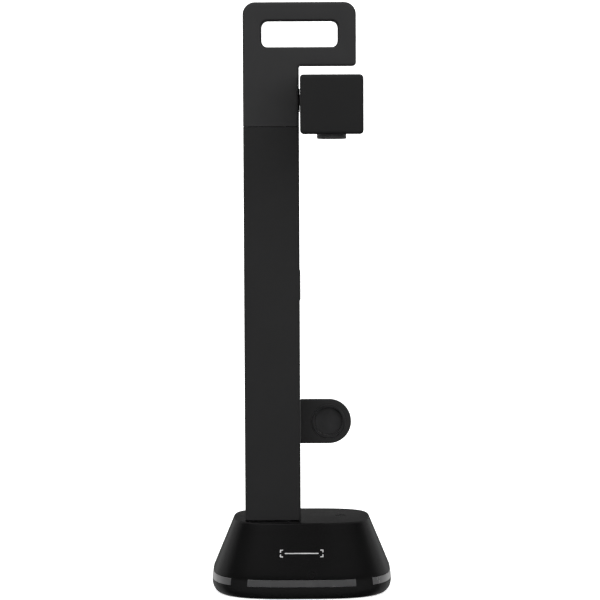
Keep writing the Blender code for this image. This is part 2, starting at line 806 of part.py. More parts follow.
def dock_outline(grow):
    """Outline of the dock tab in X and Z: straight root and a round free end."""
    radius = DOCK_HALF_HEIGHT + grow
    steps = 16
    outline = [(COLUMN_X[1] + GAP, DOCK_Z - radius)]
    for k in range(steps + 1):
        angle = -math.pi / 2 + math.pi * k / steps
        outline.append((DOCK_X + radius * math.cos(angle), DOCK_Z + radius * math.sin(angle)))
    outline.append((COLUMN_X[1] + GAP, DOCK_Z + radius))
    return outline


def tongue_guide(name, grow):
    """Body of the tongue on the dock's root that locates in the column's side, grown by a gap."""
    low = (COLUMN_X[1] - 1.0 - grow, TONGUE_Y[0] - grow, DOCK_Z - TONGUE_HALF_HEIGHT - grow)
    high = (COLUMN_X[1] + 1.5, TONGUE_Y[1] + grow, DOCK_Z + TONGUE_HALF_HEIGHT + grow)
    return box(name, low, high)


def dock_tab(material):
    """Tab on the column's side with a round pocket for the lens."""
    rings = []
    for advance, inset in edge_steps(1.0):
        rings.append([(x, DOCK_Y[0] + advance, z) for x, z in dock_outline(-inset)])
    for advance, inset in reversed(edge_steps(1.0)):
        rings.append([(x, DOCK_Y[1] - advance, z) for x, z in dock_outline(-inset)])
    tab = loft("dock_tab", rings, material)
    fuse(tab, tongue_guide("guide_tongue", 0.0))
    place = (LENS_X, 0, DOCK_Z)
    cut(tab, pin_guide("guide_cup_pocket", place, "Y", 10.0, CUP_FLOOR_Y, CUP_POCKET_RADIUS, 36))
    for tag, dz in (("low", -DOCK_SCREW_DZ), ("high", DOCK_SCREW_DZ)):
        place = (0, DOCK_SCREW_Y, DOCK_Z + dz)
        cut(tab, pin_guide(f"guide_dock_tap_{tag}", place, "X", -3.0, 6.0, 1.3, 12))
    return tab


def dock_ring(material):
    """Soft liner ring of the cup."""
    profile = [
        (DOCK_Y[0] + 0.2, CUP_BORE_RADIUS + 0.2),
        (DOCK_Y[0] - 0.2, CUP_BORE_RADIUS + 0.6),
        (DOCK_Y[0] - 0.2, CUP_RIM_RADIUS - 0.5),
        (DOCK_Y[0] + 0.3, CUP_RIM_RADIUS),
        (CUP_FLOOR_Y - GAP, CUP_RIM_RADIUS),
        (CUP_FLOOR_Y - GAP, CUP_BORE_RADIUS),
    ]
    return turned("dock_ring", (LENS_X, 0, DOCK_Z), "Y", profile, material, 36, hollow=True)


def dock_screws(material):
    """Two screws from inside the column into the dock tab."""
    for tag, dz in (("low", -DOCK_SCREW_DZ), ("high", DOCK_SCREW_DZ)):
        place = (0, DOCK_SCREW_Y, DOCK_Z + dz)
        pan_screw(f"dock_screw_{tag}", place, "X", -2.8, 1, 2.0, 1.0, 8.0, material)


# Arm.

def arm_outline(inset):
    """Side outline of the arm in Y and Z: round hinge end, and a front end that rises slightly."""
    radius = ARM_HALF_HEIGHT - inset
    front = ARM_FRONT_Y + inset
    corner = max(2.4 - inset, 0.2)
    outline = []
    for centre_y, centre_z, start in (
        (front + corner, HINGE_Z - radius + corner, math.pi),
        (HINGE_Y, HINGE_Z, -math.pi / 2),
        (front + corner, HINGE_Z + ARM_TOP_RISE + radius - corner, math.pi / 2),
    ):
        hinge_end = centre_y == HINGE_Y
        steps = 16 if hinge_end else 4
        sweep = math.pi if hinge_end else math.pi / 2
        size = radius if hinge_end else corner
        for k in range(steps + 1):
            angle = start + sweep * k / steps
            outline.append((centre_y + size * math.cos(angle), centre_z + size * math.sin(angle)))
    return outline


def arm_shell(material, pivot):
    """One-piece arm housing, open underneath in front of the hinge."""
    rings = []
    for advance, inset in edge_steps(ARM_EDGE_RADIUS):
        rings.append([(ARM_X[0] + advance, y, z) for y, z in arm_outline(inset)])
    for advance, inset in reversed(edge_steps(ARM_EDGE_RADIUS)):
        rings.append([(ARM_X[1] - advance, y, z) for y, z in arm_outline(inset)])
    shell = loft("arm_shell", rings, material)
    x0, x1 = ARM_X[0] + ARM_WALL, ARM_X[1] - ARM_WALL
    hollow = [[(x, y, z) for y, z in arm_outline(ARM_WALL)] for x in (x0, x1)]
    cut(shell, loft("guide_arm_hollow", hollow))
    low = (x0, ARM_FRONT_Y + ARM_WALL, 300.0)
    cut(shell, box("guide_arm_mouth", low, (x1, COVER_REAR_Y, 312.0)))
    place = (0, HINGE_Y, HINGE_Z)
    cut(shell, pin_guide("guide_arm_bore", place, "X", -1.0, 6.0, SHAFT_RADIUS + 0.6))
    for tag, y in hub_screw_places():
        place = (HUB_SCREW_X, y, 0)
        fuse(shell, pin_guide(f"guide_hub_post_{tag}", place, "Z", 328.2, 339.0, 3.4))
        cut(shell, pin_guide(f"guide_hub_pilot_{tag}", place, "Z", 327.0, 335.5, 1.4, 12))
    attach(shell, pivot)
    return shell


def arm_cover(material, pivot):
    """Flat cover in the arm's underside with the lens and lamp openings."""
    x0, x1 = ARM_X[0] + ARM_WALL + GAP, ARM_X[1] - ARM_WALL - GAP
    low = (x0, ARM_FRONT_Y + ARM_WALL + GAP, COVER_Z)
    high = (x1, COVER_REAR_Y - GAP, COVER_Z + COVER_THICKNESS)
    cover = box("arm_cover", low, high, material)
    place = (LENS_X, LENS_Y, 0)
    cut(cover, pin_guide("guide_cover_lens", place, "Z", 300.0, 315.0, LENS_RADIUS + GAP, 36))
    rings = [[(x, y, z) for x, y in led_outline(GAP)] for z in (300.0, 315.0)]
    cut(cover, loft("guide_cover_lamp", rings))
    for tag, y in cover_screw_places():
        seat = COVER_Z + COVER_SEAT
        profile = [(300.0, 2.4), (seat, 2.4), (seat, 1.4), (315.0, 1.4)]
        cut(cover, turned(f"guide_cover_hole_{tag}", (LENS_X, y, 0), "Z", profile, None, 14))
    attach(cover, pivot)
    return cover


def cover_screw_places():
    """Name and Y of the two screws in the arm's cover."""
    return [("front", -170.0), ("rear", -62.0)]


def cover_posts(material, pivot):
    """Threaded pillars between the cover and the top of the housing."""
    for tag, y in cover_screw_places():
        profile = ring_profile(INNER_SEAT_Z, HINGE_Z + ARM_HALF_HEIGHT - ARM_WALL - GAP, 1.3, 3.6)
        post = turned(f"cover_pillar_{tag}", (LENS_X, y, 0), "Z", profile, material, 24, hollow=True)
        attach(post, pivot)


def cover_screws(material, pivot):
    """Two screws that hold the cover to the pillars."""
    seat = COVER_Z + COVER_SEAT - GAP
    for tag, y in cover_screw_places():
        profile = [
            (seat - 0.8, 0.8),
            (seat - 0.8, 1.6),
            (seat - 0.4, 2.1),
            (seat, 2.1),
            (seat, 1.0),
            (seat + 9.0, 1.0),
            (seat + 10.0, 0.4),
        ]
        screw = turned(f"cover_screw_{tag}", (LENS_X, y, 0), "Z", profile, material, 12)
        attach(screw, pivot)


def hub_screw_places():
    """Name and Y of the two screws that hold the hinge hub to the housing."""
    return [("front", -45.0), ("rear", -24.0)]


def hinge_hub(material, pivot):
    """Steel sleeve on the shaft with a bar that is screwed to the housing."""
    place = (0, HINGE_Y, HINGE_Z)
    hub = turned("hinge_hub", place, "X", [(3.1, 7.2), (19.1, 7.2)], material, 28)
    low = (HUB_SCREW_X - 5.8, -51.0, HINGE_Z - HUB_BAR_HALF)
    high = (HUB_SCREW_X + 5.8, HINGE_Y, HINGE_Z + HUB_BAR_HALF)
    fuse(hub, box("guide_hub_bar", low, high))
    cut(hub, pin_guide("guide_hub_bore", place, "X", 0.0, 22.0, SHAFT_RADIUS + GAP))
    for tag, y in hub_screw_places():
        place = (HUB_SCREW_X, y, 0)
        cut(hub, pin_guide(f"guide_bar_hole_{tag}", place, "Z", 315.0, 332.0, 1.5, 12))
    attach(hub, pivot)
    return hub


def hub_screws(material, pivot):
    """Two screws up through the hub's bar."""
    seat = HINGE_Z - HUB_BAR_HALF - GAP
    for tag, y in hub_screw_places():
        place = (HUB_SCREW_X, y, 0)
        screw = pan_screw(f"hub_screw_{tag}", place, "Z", seat, 1, 2.6, 1.1, 15.5, material)
        attach(screw, pivot)


def lens_barrel(material, pivot):
    """Lens tube that stands out of the arm's underside, with a retaining flange."""
    tip = HINGE_Z - ARM_HALF_HEIGHT - LENS_DROP
    profile = [
        (tip + 0.5, 7.4),
        (tip, 7.8),
        (tip, LENS_RADIUS - 0.5),
        (tip + 0.5, LENS_RADIUS),
        (INNER_SEAT_Z, LENS_RADIUS),
        (INNER_SEAT_Z, 11.5),
        (311.4, 11.5),
        (311.4, LENS_RADIUS),
        (321.3, LENS_RADIUS),
        (321.3, 6.4),
        (tip + 1.7, 6.4),
        (tip + 1.7, 7.4),
    ]
    barrel = turned("lens_barrel", (LENS_X, LENS_Y, 0), "Z", profile, material, 36, hollow=True)
    attach(barrel, pivot)
    return barrel


def lens_glass(material, pivot):
    """Clear front window of the lens."""
    tip = HINGE_Z - ARM_HALF_HEIGHT - LENS_DROP
    profile = [(tip + 0.5, 6.7), (tip + 0.7, 7.1), (tip + 1.4, 7.1)]
    glass = turned("lens_glass", (LENS_X, LENS_Y, 0), "Z", profile, material, 32)
    attach(glass, pivot)
    return glass


def lens_element(material, pivot):
    """Curved glass element inside the barrel."""
    profile = [(308.2, 1.6), (308.8, 4.2), (309.6, 6.1), (311.6, 6.1)]
    element = turned("lens_element", (LENS_X, LENS_Y, 0), "Z", profile, material, 32)
    attach(element, pivot)
    return element


def image_sensor(material, pivot):
    """Sensor chip above the barrel."""
    half = 4.0
    low = (LENS_X - half, LENS_Y - half, 319.9)
    high = (LENS_X + half, LENS_Y + half, 321.3)
    sensor = box("image_sensor", low, high, material)
    attach(sensor, pivot)
    return sensor


def camera_board(material, pivot):
    """Circuit board that carries the sensor."""
    low = (LENS_X - 14.0, LENS_Y - 13.0, 321.6)
    high = (LENS_X + 14.0, LENS_Y + 17.0, 323.2)
    board = soft_box("camera_board", low, high, 0.2, material)
    attach(board, pivot)
    return board


def led_outline(grow):
    """Rounded outline of the lamp window in X and Y."""
    x0, x1 = LENS_X - 8.0 - grow, LENS_X + 8.0 + grow
    outline = rect_outline(x0, x1, LED_Y - 3.0 - grow, LED_Y + 3.0 + grow, 2.9 + grow, steps=6)
    return [(p.x, p.y) for p in outline]


def led_window(material, pivot):
    """Frosted window of the work lamp, flush with the cover."""
    rings = [[(x, y, COVER_Z + rise) for x, y in led_outline(0.0)] for rise in (0.1, 2.4)]
    window = loft("led_window", rings, material)
    attach(window, pivot)
    return window


def led_board(material, pivot):
    """Strip board with the lamp's light sources."""
    low = (LENS_X - 9.0, LED_Y - 4.0, 309.7)
    high = (LENS_X + 9.0, LED_Y + 4.0, 310.9)
    board = box("led_board", low, high, material)
    attach(board, pivot)
    return board


def attach(obj, pivot):
    """Parent a piece to its joint's empty and move its origin there."""
    offset = pivot.location.copy()
    for vertex in obj.data.vertices:
        vertex.co -= offset
    for modifier in obj.modifiers:
        if modifier.type == "BOOLEAN":
            shift_guide(modifier.object, pivot, offset)
    obj.parent = pivot


def shift_guide(guide, pivot, offset):
    """Carry a guide body along with the piece that it shapes."""
    for vertex in guide.data.vertices:
        vertex.co -= offset
    guide.parent = pivot


def make_pivot(name, location):
    """An empty on a joint's axis."""
    pivot = bpy.data.objects.new(name, None)
    pivot.location = Vector(location) * MM
    bpy.context.scene.collection.objects.link(pivot)
    return pivot


def build_base(look):
    """Every piece that stays with the base."""
    base_shell(look["base"])
    trim_strips(look["strip"])
    base_plate(look["dark"])
    base_screws(look["steel"])
    anti_slip_mat(look["rubber"])
    ballast(look["iron"])
    main_board(look["board"])
    board_standoffs(look["brass"])
    usb_socket(look["steel"])
    usb_tongue(look["dark"])
    key_board(look["board"])
    key_switch(look["dark"])


def build_column(look):
    """The column, its bumper and the dock."""
    column_spine(look["iron"])
    spine_screws(look["steel"])
    column_front(look["column"])
    column_rear(look["column"])
    column_screws(look["steel"])
    bumper_pad(look["bumper"])
    dock_tab(look["column"])
    dock_ring(look["rim"])
    dock_screws(look["steel"])


def build_head(look):
    """The head with its handle, and the fixed side of the hinge."""
    head_front(look["head"])
    head_rear(look["head"])
    handle_screws(look["steel"])
    hinge_bracket(look["iron"])
    hinge_shaft(look["steel"])
    hinge_collar(look["rubber"])
    friction_washer(look["steel"])
    hinge_nut(look["steel"])


def build_arm(look, pivot):
    """The swinging arm with the camera and the lamp."""
    arm_shell(look["column"], pivot)
    arm_cover(look["column"], pivot)
    cover_posts(look["brass"], pivot)
    cover_screws(look["steel"], pivot)
    hinge_hub(look["iron"], pivot)
    hub_screws(look["steel"], pivot)
    lens_barrel(look["barrel"], pivot)
    lens_glass(look["glass"], pivot)
    lens_element(look["glass"], pivot)
    image_sensor(look["dark"], pivot)
    camera_board(look["board"], pivot)
    led_window(look["frosted"], pivot)
    led_board(look["board"], pivot)


def main():
    """Build the whole object."""
    clear_scene()
    look = {
        "base": make_material("base_plastic", (0.012, 0.012, 0.013), 0.32),
        "column": make_material("column_plastic", (0.022, 0.022, 0.023), 0.45),
        "head": make_material("head_plastic", (0.034, 0.034, 0.035), 0.45),
        "strip": make_material("strip_rubber", (0.062, 0.062, 0.064), 0.60),
        "rim": make_material("rim_rubber", (0.040, 0.040, 0.042), 0.55),
        "bumper": make_material("bumper_rubber", (0.075, 0.075, 0.077), 0.70),
        "rubber": make_material("black_rubber", (0.010, 0.010, 0.010), 0.75),
        "barrel": make_material("barrel_plastic", (0.026, 0.026, 0.027), 0.40),
        "dark": make_material("dark_plastic", (0.015, 0.015, 0.016), 0.55),
        "steel": make_material("screw_steel", (0.55, 0.55, 0.56), 0.30, 1.0),
        "iron": make_material("plain_steel", (0.32, 0.32, 0.33), 0.45, 1.0),
        "brass": make_material("brass", (0.72, 0.55, 0.24), 0.35, 1.0),
        "board": make_material("circuit_board", (0.02, 0.10, 0.05), 0.45),
        "glass": make_material("lens_glass", (0.05, 0.06, 0.08), 0.05, 0.0, 0.45),
        "frosted": make_material("frosted_window", (0.80, 0.80, 0.78), 0.50),
    }
    build_base(look)
    build_column(look)
    build_head(look)
    key_pivot = make_pivot("key_axis", (KEY_X, KEY_Y, BASE_TOP_Z))
    capture_key(look["dark"], key_pivot)
    arm_pivot = make_pivot("arm_axis", (0.0, HINGE_Y, HINGE_Z))
    build_arm(look, arm_pivot)


main()
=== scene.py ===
"""Looks of the document camera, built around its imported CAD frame.

Metres, +Z up.  Shapes are written in millimetres and scaled once, in finish_mesh.
"""

import json
import math

import bmesh
import bpy
from mathutils import Matrix, Vector


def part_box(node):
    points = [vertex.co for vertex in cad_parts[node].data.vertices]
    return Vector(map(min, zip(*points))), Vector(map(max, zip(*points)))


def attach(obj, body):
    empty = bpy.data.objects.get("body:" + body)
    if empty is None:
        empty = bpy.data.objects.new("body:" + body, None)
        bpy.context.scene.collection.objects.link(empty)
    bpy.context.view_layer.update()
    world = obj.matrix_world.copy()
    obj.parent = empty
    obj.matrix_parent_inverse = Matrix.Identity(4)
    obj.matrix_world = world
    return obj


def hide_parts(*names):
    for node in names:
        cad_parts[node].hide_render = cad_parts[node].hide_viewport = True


MM = 0.001
GAP = 0.3  # between neighbouring pieces, in millimetres

# The camera, in metres and degrees, and the strength of the surround that it sees.
CAMERA_PLACE = (-0.0004, -1.85, 0.3435)
CAMERA_TILT = 4.72
CAMERA_ROLL = 0.245
CAMERA_LENS = 167.94
SURROUND = 1.2

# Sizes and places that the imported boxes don't hold, in millimetres.
# Base and key.
BASE_POWER = 3.4  # exponent of the outline
BASE_POINTS = 240  # count around the outline
BASE_INNER = (56.1, 52.1)
BASE_MOUTH = (52.6, 48.6)
BASE_TOP = (45.2, 32.9)
BASE_RIM_DROP = 0.9
BASE_DECK = 2.8
SPINE_INSET = (3.4, 7.4)
KNEE_ZS = (10.9, 12.6)
KNEE_WIDTH = 1.8
KNEE_END_Z = 17.0
KNEE_STEP = 0.8
FOOT_INSET = (4.2, 1.0)
FOOT_HEIGHT = 6.4
STRIP_Z = (8.0, 12.7)
STRIP_DEPTH = 1.5
STRIP_LEAN = 0.5
STRIP_PLAY = 0.005  # outline angle, in radians
STRIP_FRONT_X = 35.8
STRIP_SIDE_Y = 46.5
KEY_RADIUS = 3.4
SIGN_SHIFT = -1.8
# Column and head.
EDGE_RADIUS = 2.2
SEAM_EDGE = ((0.25, 0.0), (0.07, 0.07), (0.0, 0.25))
SPLIT_Y = -2.0
COLUMN_WALL = 2.0
COLUMN_POST = 3.6
COLUMN_POST_YS = (11.3, 21.0)
COLUMN_SCREW_ZS = (78.0, 286.0)
HEAD_WALL = 2.2
HEAD_POST = 3.0
HEAD_CORNER = 8.0
CROSSBAR_Z = 345.15
SLOT_X = 25.2
SLOT_Z = (357.7, 374.85)
SLOT_CORNER = 4.4
SLOT_LIP = 1.6
SLOT_WALL = 1.9
SCREW_X = 30.9
SCREW_Z = 366.1
SCREW_BORE = 1.4
SEAL_INSET = 0.5
SEAL_WIDTH = 1.0
SEAL_PLAY = 0.02
# Hinge and arm.
HINGE_Y = -2.0
HINGE_Z = 322.9
SHAFT_BORE = 4.1
COLLAR_PLAY = 0.08
ARM_WALL = 2.0
ARM_EDGE = 2.3
ARM_TOP_RISE = 0.45
ARM_LEFT_SKIN = 0.25
ARM_BELOW_Z = 300.0
ARM_MOUTH_Z = 312.0
ARM_INSIDE_Z = 315.0
COVER_REAR_Y = -24.0
COVER_SCREW_YS = (-170.0, -62.0)
HUB_X = 10.0
HUB_SCREW_YS = (-45.0, -24.0)
HUB_POST = 3.4
HUB_POST_ZS = (328.2, 339.0)
HUB_BORE_ZS = (327.0, 335.5)
# Lens and lamp.
LENS_TUBE = 8.65
LENS_THROAT = 6.4
LENS_FLANGE = 11.5
LENS_FLANGE_Z = (309.4, 311.4)
LENS_OPENING = 8.95
GLASS_DOME = 6.7
LAMP_Y = -194.0
LAMP_OPENING = (8.3, 3.3)
# Dock.
TONGUE_Y = (16.5, 19.5)
TONGUE_HALF_HEIGHT = 14.6
DOCK_SCREW_Y = 17.9
DOCK_SCREW_DZ = 6.8
CUP_BORE = 9.5
CUP_FLOOR_Y = 20.2
SNUG = 0.08

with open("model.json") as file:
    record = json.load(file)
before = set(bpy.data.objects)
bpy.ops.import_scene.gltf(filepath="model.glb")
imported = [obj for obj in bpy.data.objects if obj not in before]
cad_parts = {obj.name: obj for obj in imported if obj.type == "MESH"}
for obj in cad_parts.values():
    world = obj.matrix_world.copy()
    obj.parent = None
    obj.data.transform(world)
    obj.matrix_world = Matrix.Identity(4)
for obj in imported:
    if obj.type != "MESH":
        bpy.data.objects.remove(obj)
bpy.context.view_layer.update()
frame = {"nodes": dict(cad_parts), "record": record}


def node_box(node):
    """Lowest and highest corners of a CAD node, in millimetres."""
    low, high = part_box(node)
    return low / MM, high / MM


def node_centre(node):
    """Centre of a CAD node's box, in millimetres."""
    low, high = node_box(node)
    return (low + high) / 2


# Node trees.

def start_material(name, colour, roughness, metallic=0.0, specular=0.5):
    """A Principled material with its plain values set on the shader."""
    material = bpy.data.materials.new(name)
    material.use_nodes = True
    shader = material.node_tree.nodes["Principled BSDF"]
    shader.inputs["Base Color"].default_value = (*colour, 1.0)
    shader.inputs["Roughness"].default_value = roughness
    shader.inputs["Metallic"].default_value = metallic
    shader.inputs["Specular IOR Level"].default_value = specular
    material.diffuse_color = (*colour, 1.0)
    return material, material.node_tree, shader


def add(tree, kind, **values):
    """Add a shader node and set its properties or inputs by name."""
    node = tree.nodes.new(kind)
    for key, value in values.items():
        if hasattr(node, key):
            setattr(node, key, value)
        else:
            node.inputs[key.replace("_", " ")].default_value = value
    return node


def texture(tree, place, kind, size_mm, **values):
    """Outputs of a texture node whose features are about size_mm across."""
    node = add(tree, "ShaderNodeTex" + kind, Scale=1000.0 / size_mm, **values)
    tree.links.new(place, node.inputs["Vector"])
    return node.outputs


def noise(tree, place, size_mm, detail=2.0, roughness=0.5):
    """Strength of a noise texture."""
    return texture(tree, place, "Noise", size_mm, Detail=detail, Roughness=roughness)["Fac"]


def remap(tree, value, low, high, out_low, out_high, kind="LINEAR"):
    """Map a value from one range to another, clamped."""
    node = add(tree, "ShaderNodeMapRange", interpolation_type=kind)
    limits = (("From Min", low), ("From Max", high), ("To Min", out_low), ("To Max", out_high))
    for name, number in limits:
        node.inputs[name].default_value = number
    tree.links.new(value, node.inputs["Value"])
    return node.outputs["Result"]


def maths(tree, operation, first, second):
    """A math node on two sockets or numbers."""
    node = add(tree, "ShaderNodeMath", operation=operation)
    for index, value in enumerate((first, second)):
        if isinstance(value, (int, float)):
            node.inputs[index].default_value = value
        else:
            tree.links.new(value, node.inputs[index])
    return node.outputs[0]


def product(tree, first, second):
    """Product of two sockets or numbers."""
    return maths(tree, "MULTIPLY", first, second)


def average(tree, first, second, share):
    """Mean of two sockets, with the first one's share."""
    return maths(tree, "ADD", product(tree, first, share), product(tree, second, 1 - share))


def blend_colour(tree, factor, first, second):
    """Mix two colours or colour sockets by a factor socket."""
    node = add(tree, "ShaderNodeMix", data_type="RGBA")
    tree.links.new(factor, node.inputs[0])
    for index, value in ((6, first), (7, second)):
        if isinstance(value, tuple):
            node.inputs[index].default_value = (*value, 1.0)
        else:
            tree.links.new(value, node.inputs[index])
    return node.outputs[2]


def object_place(tree, stretch=(1.0, 1.0, 1.0)):
    """Object coordinates, stretched along the axes."""
    coordinate = add(tree, "ShaderNodeTexCoord")
    mapping = add(tree, "ShaderNodeMapping")
    mapping.inputs["Scale"].default_value = stretch
    tree.links.new(coordinate.outputs["Object"], mapping.inputs["Vector"])
    return mapping.outputs["Vector"]


def add_bump(tree, shader, height, strength, depth_mm):
    """Bump the shader's normal by a height socket."""
    bump = add(tree, "ShaderNodeBump", Strength=strength, Distance=depth_mm * MM)
    tree.links.new(height, bump.inputs["Height"])
    tree.links.new(bump.outputs["Normal"], shader.inputs["Normal"])


def shade(tree, shader, colour, rough):
    """Link colour and roughness sockets to the shader."""
    tree.links.new(colour, shader.inputs["Base Color"])
    tree.links.new(rough, shader.inputs["Roughness"])


def wear_factor(tree, place, strength):
    """Wear that follows the convex edges that mark_edges stored on a mesh."""
    edge = add(tree, "ShaderNodeAttribute", attribute_name="edge_wear")
    patch = remap(tree, noise(tree, place, 9.0, 4.0, 0.6), 0.35, 0.7, 0.15, 1.0)
    return product(tree, product(tree, edge.outputs["Fac"], patch), strength)


def lift(colour, gain, offset=0.0):
    """A brighter or darker version of a colour."""
    return tuple(min(1.0, channel * gain + offset) for channel in colour)


def moulded(name, colour, roughness, specular=0.5, height=0.02, wear=0.12):
    """Moulded plastic: fine spark-erosion grain, faint flow marks, slightly rubbed edges."""
    material, tree, shader = start_material(name, colour, roughness, 0.0, specular)
    place = object_place(tree)
    broad = noise(tree, place, 38.0, 3.0, 0.55)
    fine = noise(tree, place, 0.35, 3.0, 0.65)
    flow = noise(tree, object_place(tree, (1.0, 1.0, 0.12)), 14.0, 2.0, 0.5)
    tone = remap(tree, average(tree, broad, fine, 0.6), 0.3, 0.7, 0.0, 1.0)
    base = blend_colour(tree, tone, lift(colour, 0.93), lift(colour, 1.07))
    rubbed = wear_factor(tree, place, wear)
    worn = blend_colour(tree, rubbed, base, lift(colour, 1.5, 0.004))
    smudge = average(tree, flow, broad, 0.5)
    rough = remap(tree, smudge, 0.3, 0.7, roughness - 0.03, roughness + 0.04)
    shade(tree, shader, worn, maths(tree, "ADD", rough, product(tree, rubbed, -0.3)))
    add_bump(tree, shader, fine, 0.35, height)
    return material


def rubber(name, colour, roughness, specular=0.35, pore=0.5, height=0.05, sheen=0.08):
    """Matt rubber with pores, dust in the low spots and a soft sheen."""
    material, tree, shader = start_material(name, colour, roughness, 0.0, specular)
    place = object_place(tree)
    cell = texture(tree, place, "Voronoi", pore)["Distance"]
    cloud = noise(tree, place, 11.0, 4.0, 0.6)
    dust = remap(tree, cloud, 0.45, 0.75, 0.0, 0.55)
    base = blend_colour(tree, dust, lift(colour, 0.9), lift(colour, 1.3, 0.003))
    worn = blend_colour(tree, wear_factor(tree, place, 0.45), base, lift(colour, 1.7, 0.008))
    shade(tree, shader, worn, remap(tree, cloud, 0.3, 0.7, roughness - 0.07, roughness + 0.06))
    shader.inputs["Sheen Weight"].default_value = sheen
    shader.inputs["Sheen Roughness"].default_value = 0.5
    grit = noise(tree, place, pore * 0.7, 3.0, 0.7)
    relief = maths(tree, "ADD", cell, grit)
    add_bump(tree, shader, relief, 0.4, height)
    return material


def metal(name, colour, roughness, stretch=(1.0, 1.0, 0.04), scratch=0.35):
    """Metal with drawn or turned lines, stains and bright rubbed edges."""
    material, tree, shader = start_material(name, colour, roughness, 1.0)
    place = object_place(tree)
    lines = noise(tree, object_place(tree, stretch), scratch, 3.0, 0.6)
    stain = noise(tree, place, 7.0, 4.0, 0.6)
    stained = remap(tree, stain, 0.35, 0.7, 0.0, 1.0)
    base = blend_colour(tree, stained, lift(colour, 1.08), lift(colour, 0.78))
    worn = blend_colour(tree, wear_factor(tree, place, 0.8), base, lift(colour, 1.25, 0.05))
    mixed = average(tree, lines, stain, 0.6)
    shade(tree, shader, worn, remap(tree, mixed, 0.3, 0.7, roughness - 0.1, roughness + 0.12))
    add_bump(tree, shader, lines, 0.25, 0.01)
    return material


def circuit_board(name):
    """Green solder mask with traces, glass weave and copper pads."""
    material, tree, shader = start_material(name, (0.012, 0.09, 0.04), 0.35)
    place = object_place(tree)
    traces = texture(tree, place, "Brick", 1000.0 / 260.0)["Fac"]
    weave = noise(tree, place, 0.5, 2.0, 0.5)
    mask = blend_colour(tree, traces, (0.010, 0.075, 0.034), (0.022, 0.16, 0.07))
    pads = texture(tree, place, "Voronoi", 1000.0 / 300.0)["Distance"]
    pad = remap(tree, pads, 0.16, 0.2, 1.0, 0.0)
    colour = blend_colour(tree, pad, mask, (0.62, 0.50, 0.28))
    shade(tree, shader, colour, remap(tree, weave, 0.3, 0.7, 0.28, 0.42))
    add_bump(tree, shader, maths(tree, "ADD", traces, weave), 0.3, 0.03)
    return material


def coated_glass(name):
    """Dark lens glass with a faint violet and green coating."""
    material, tree, shader = start_material(name, (0.010, 0.012, 0.020), 0.03, 0.0, 0.6)
    place = object_place(tree)
    facing = add(tree, "ShaderNodeLayerWeight", Blend=0.35)
    tint = blend_colour(tree, facing.outputs["Facing"], (0.020, 0.010, 0.045), (0.012, 0.050, 0.040))
    dust = remap(tree, noise(tree, place, 0.9, 4.0, 0.7), 0.62, 0.75, 0.0, 0.12)
    rough = remap(tree, noise(tree, place, 3.0, 3.0, 0.6), 0.4, 0.7, 0.02, 0.09)
    shade(tree, shader, blend_colour(tree, dust, tint, (0.3, 0.3, 0.3)), rough)
    shader.inputs["Coat Weight"].default_value = 1.0
    shader.inputs["Coat Roughness"].default_value = 0.02
    return material


def frosted(name):
    """Milky lamp window over small yellow light sources."""
    material, tree, shader = start_material(name, (0.78, 0.78, 0.74), 0.42, 0.0, 0.5)
    place = object_place(tree)
    dots = texture(tree, place, "Voronoi", 1000.0 / 270.0, Randomness=0.0)["Distance"]
    spot = remap(tree, dots, 0.15, 0.5, 0.55, 0.0)
    milk = blend_colour(tree, spot, (0.80, 0.80, 0.77), (0.85, 0.70, 0.28))
    haze = remap(tree, noise(tree, place, 4.0, 3.0, 0.6), 0.35, 0.7, 0.0, 0.25)
    hazy = blend_colour(tree, haze, milk, (0.66, 0.66, 0.64))
    grain = noise(tree, place, 0.3, 2.0, 0.6)
    shade(tree, shader, hazy, remap(tree, grain, 0.3, 0.7, 0.36, 0.5))
    add_bump(tree, shader, grain, 0.3, 0.02)
    return material


def floor_paint(name):
    """Plain pale studio floor with a barely visible mottling."""
    material, tree, shader = start_material(name, (0.9, 0.9, 0.9), 0.8, 0.0, 0.1)
    place = object_place(tree)
    mottle = remap(tree, noise(tree, place, 60.0, 3.0, 0.5), 0.3, 0.7, 0.0, 1.0)
    paint = blend_colour(tree, mottle, (0.89, 0.89, 0.89), (0.91, 0.91, 0.91))
    tree.links.new(paint, shader.inputs["Base Color"])
    shader.inputs["Emission Color"].default_value = (1.0, 1.0, 1.0, 1.0)
    shader.inputs["Emission Strength"].default_value = 0.7
    return material


# Meshes.

def new_object(name, data):
    """Put new data into the scene as an object."""
    obj = bpy.data.objects.new(name, data)
    bpy.context.scene.collection.objects.link(obj)
    return obj


def finish_mesh(bm, name):
    """Turn a closed bmesh in millimetres into an object in metres."""
    bmesh.ops.recalc_face_normals(bm, faces=bm.faces)
    bmesh.ops.scale(bm, vec=(MM, MM, MM), verts=bm.verts)
    mesh = bpy.data.meshes.new(name)
    bm.to_mesh(mesh)
    bm.free()
    return new_object(name, mesh)


def loft(name, rings, closed=False):
    """Join equal rings of points, capped at both ends unless closed."""
    bm = bmesh.new()
    rows = [[bm.verts.new(point) for point in ring] for ring in rings]
    count = len(rows[0])
    pairs = list(zip(rows, rows[1:]))
    if closed:
        pairs.append((rows[-1], rows[0]))
    for low, high in pairs:
        for i in range(count):
            j = (i + 1) % count
            bm.faces.new((low[i], low[j], high[j], high[i]))
    if not closed:
        bm.faces.new(rows[0])
        bm.faces.new(rows[-1])
    return finish_mesh(bm, name)


def along_x(outline, places):
    """Rings of a (y, z) outline at several places on the X axis."""
    return [[(x, y, z) for y, z in outline] for x in places]


def along_y(outline, places):
    """Rings of an (x, z) outline at several places on the Y axis."""
    return [[(x, y, z) for x, z in outline] for y in places]


def along_z(outline, places):
    """Rings of an (x, y) outline at several places on the Z axis."""
    return [[(x, y, z) for x, y in outline] for z in places]


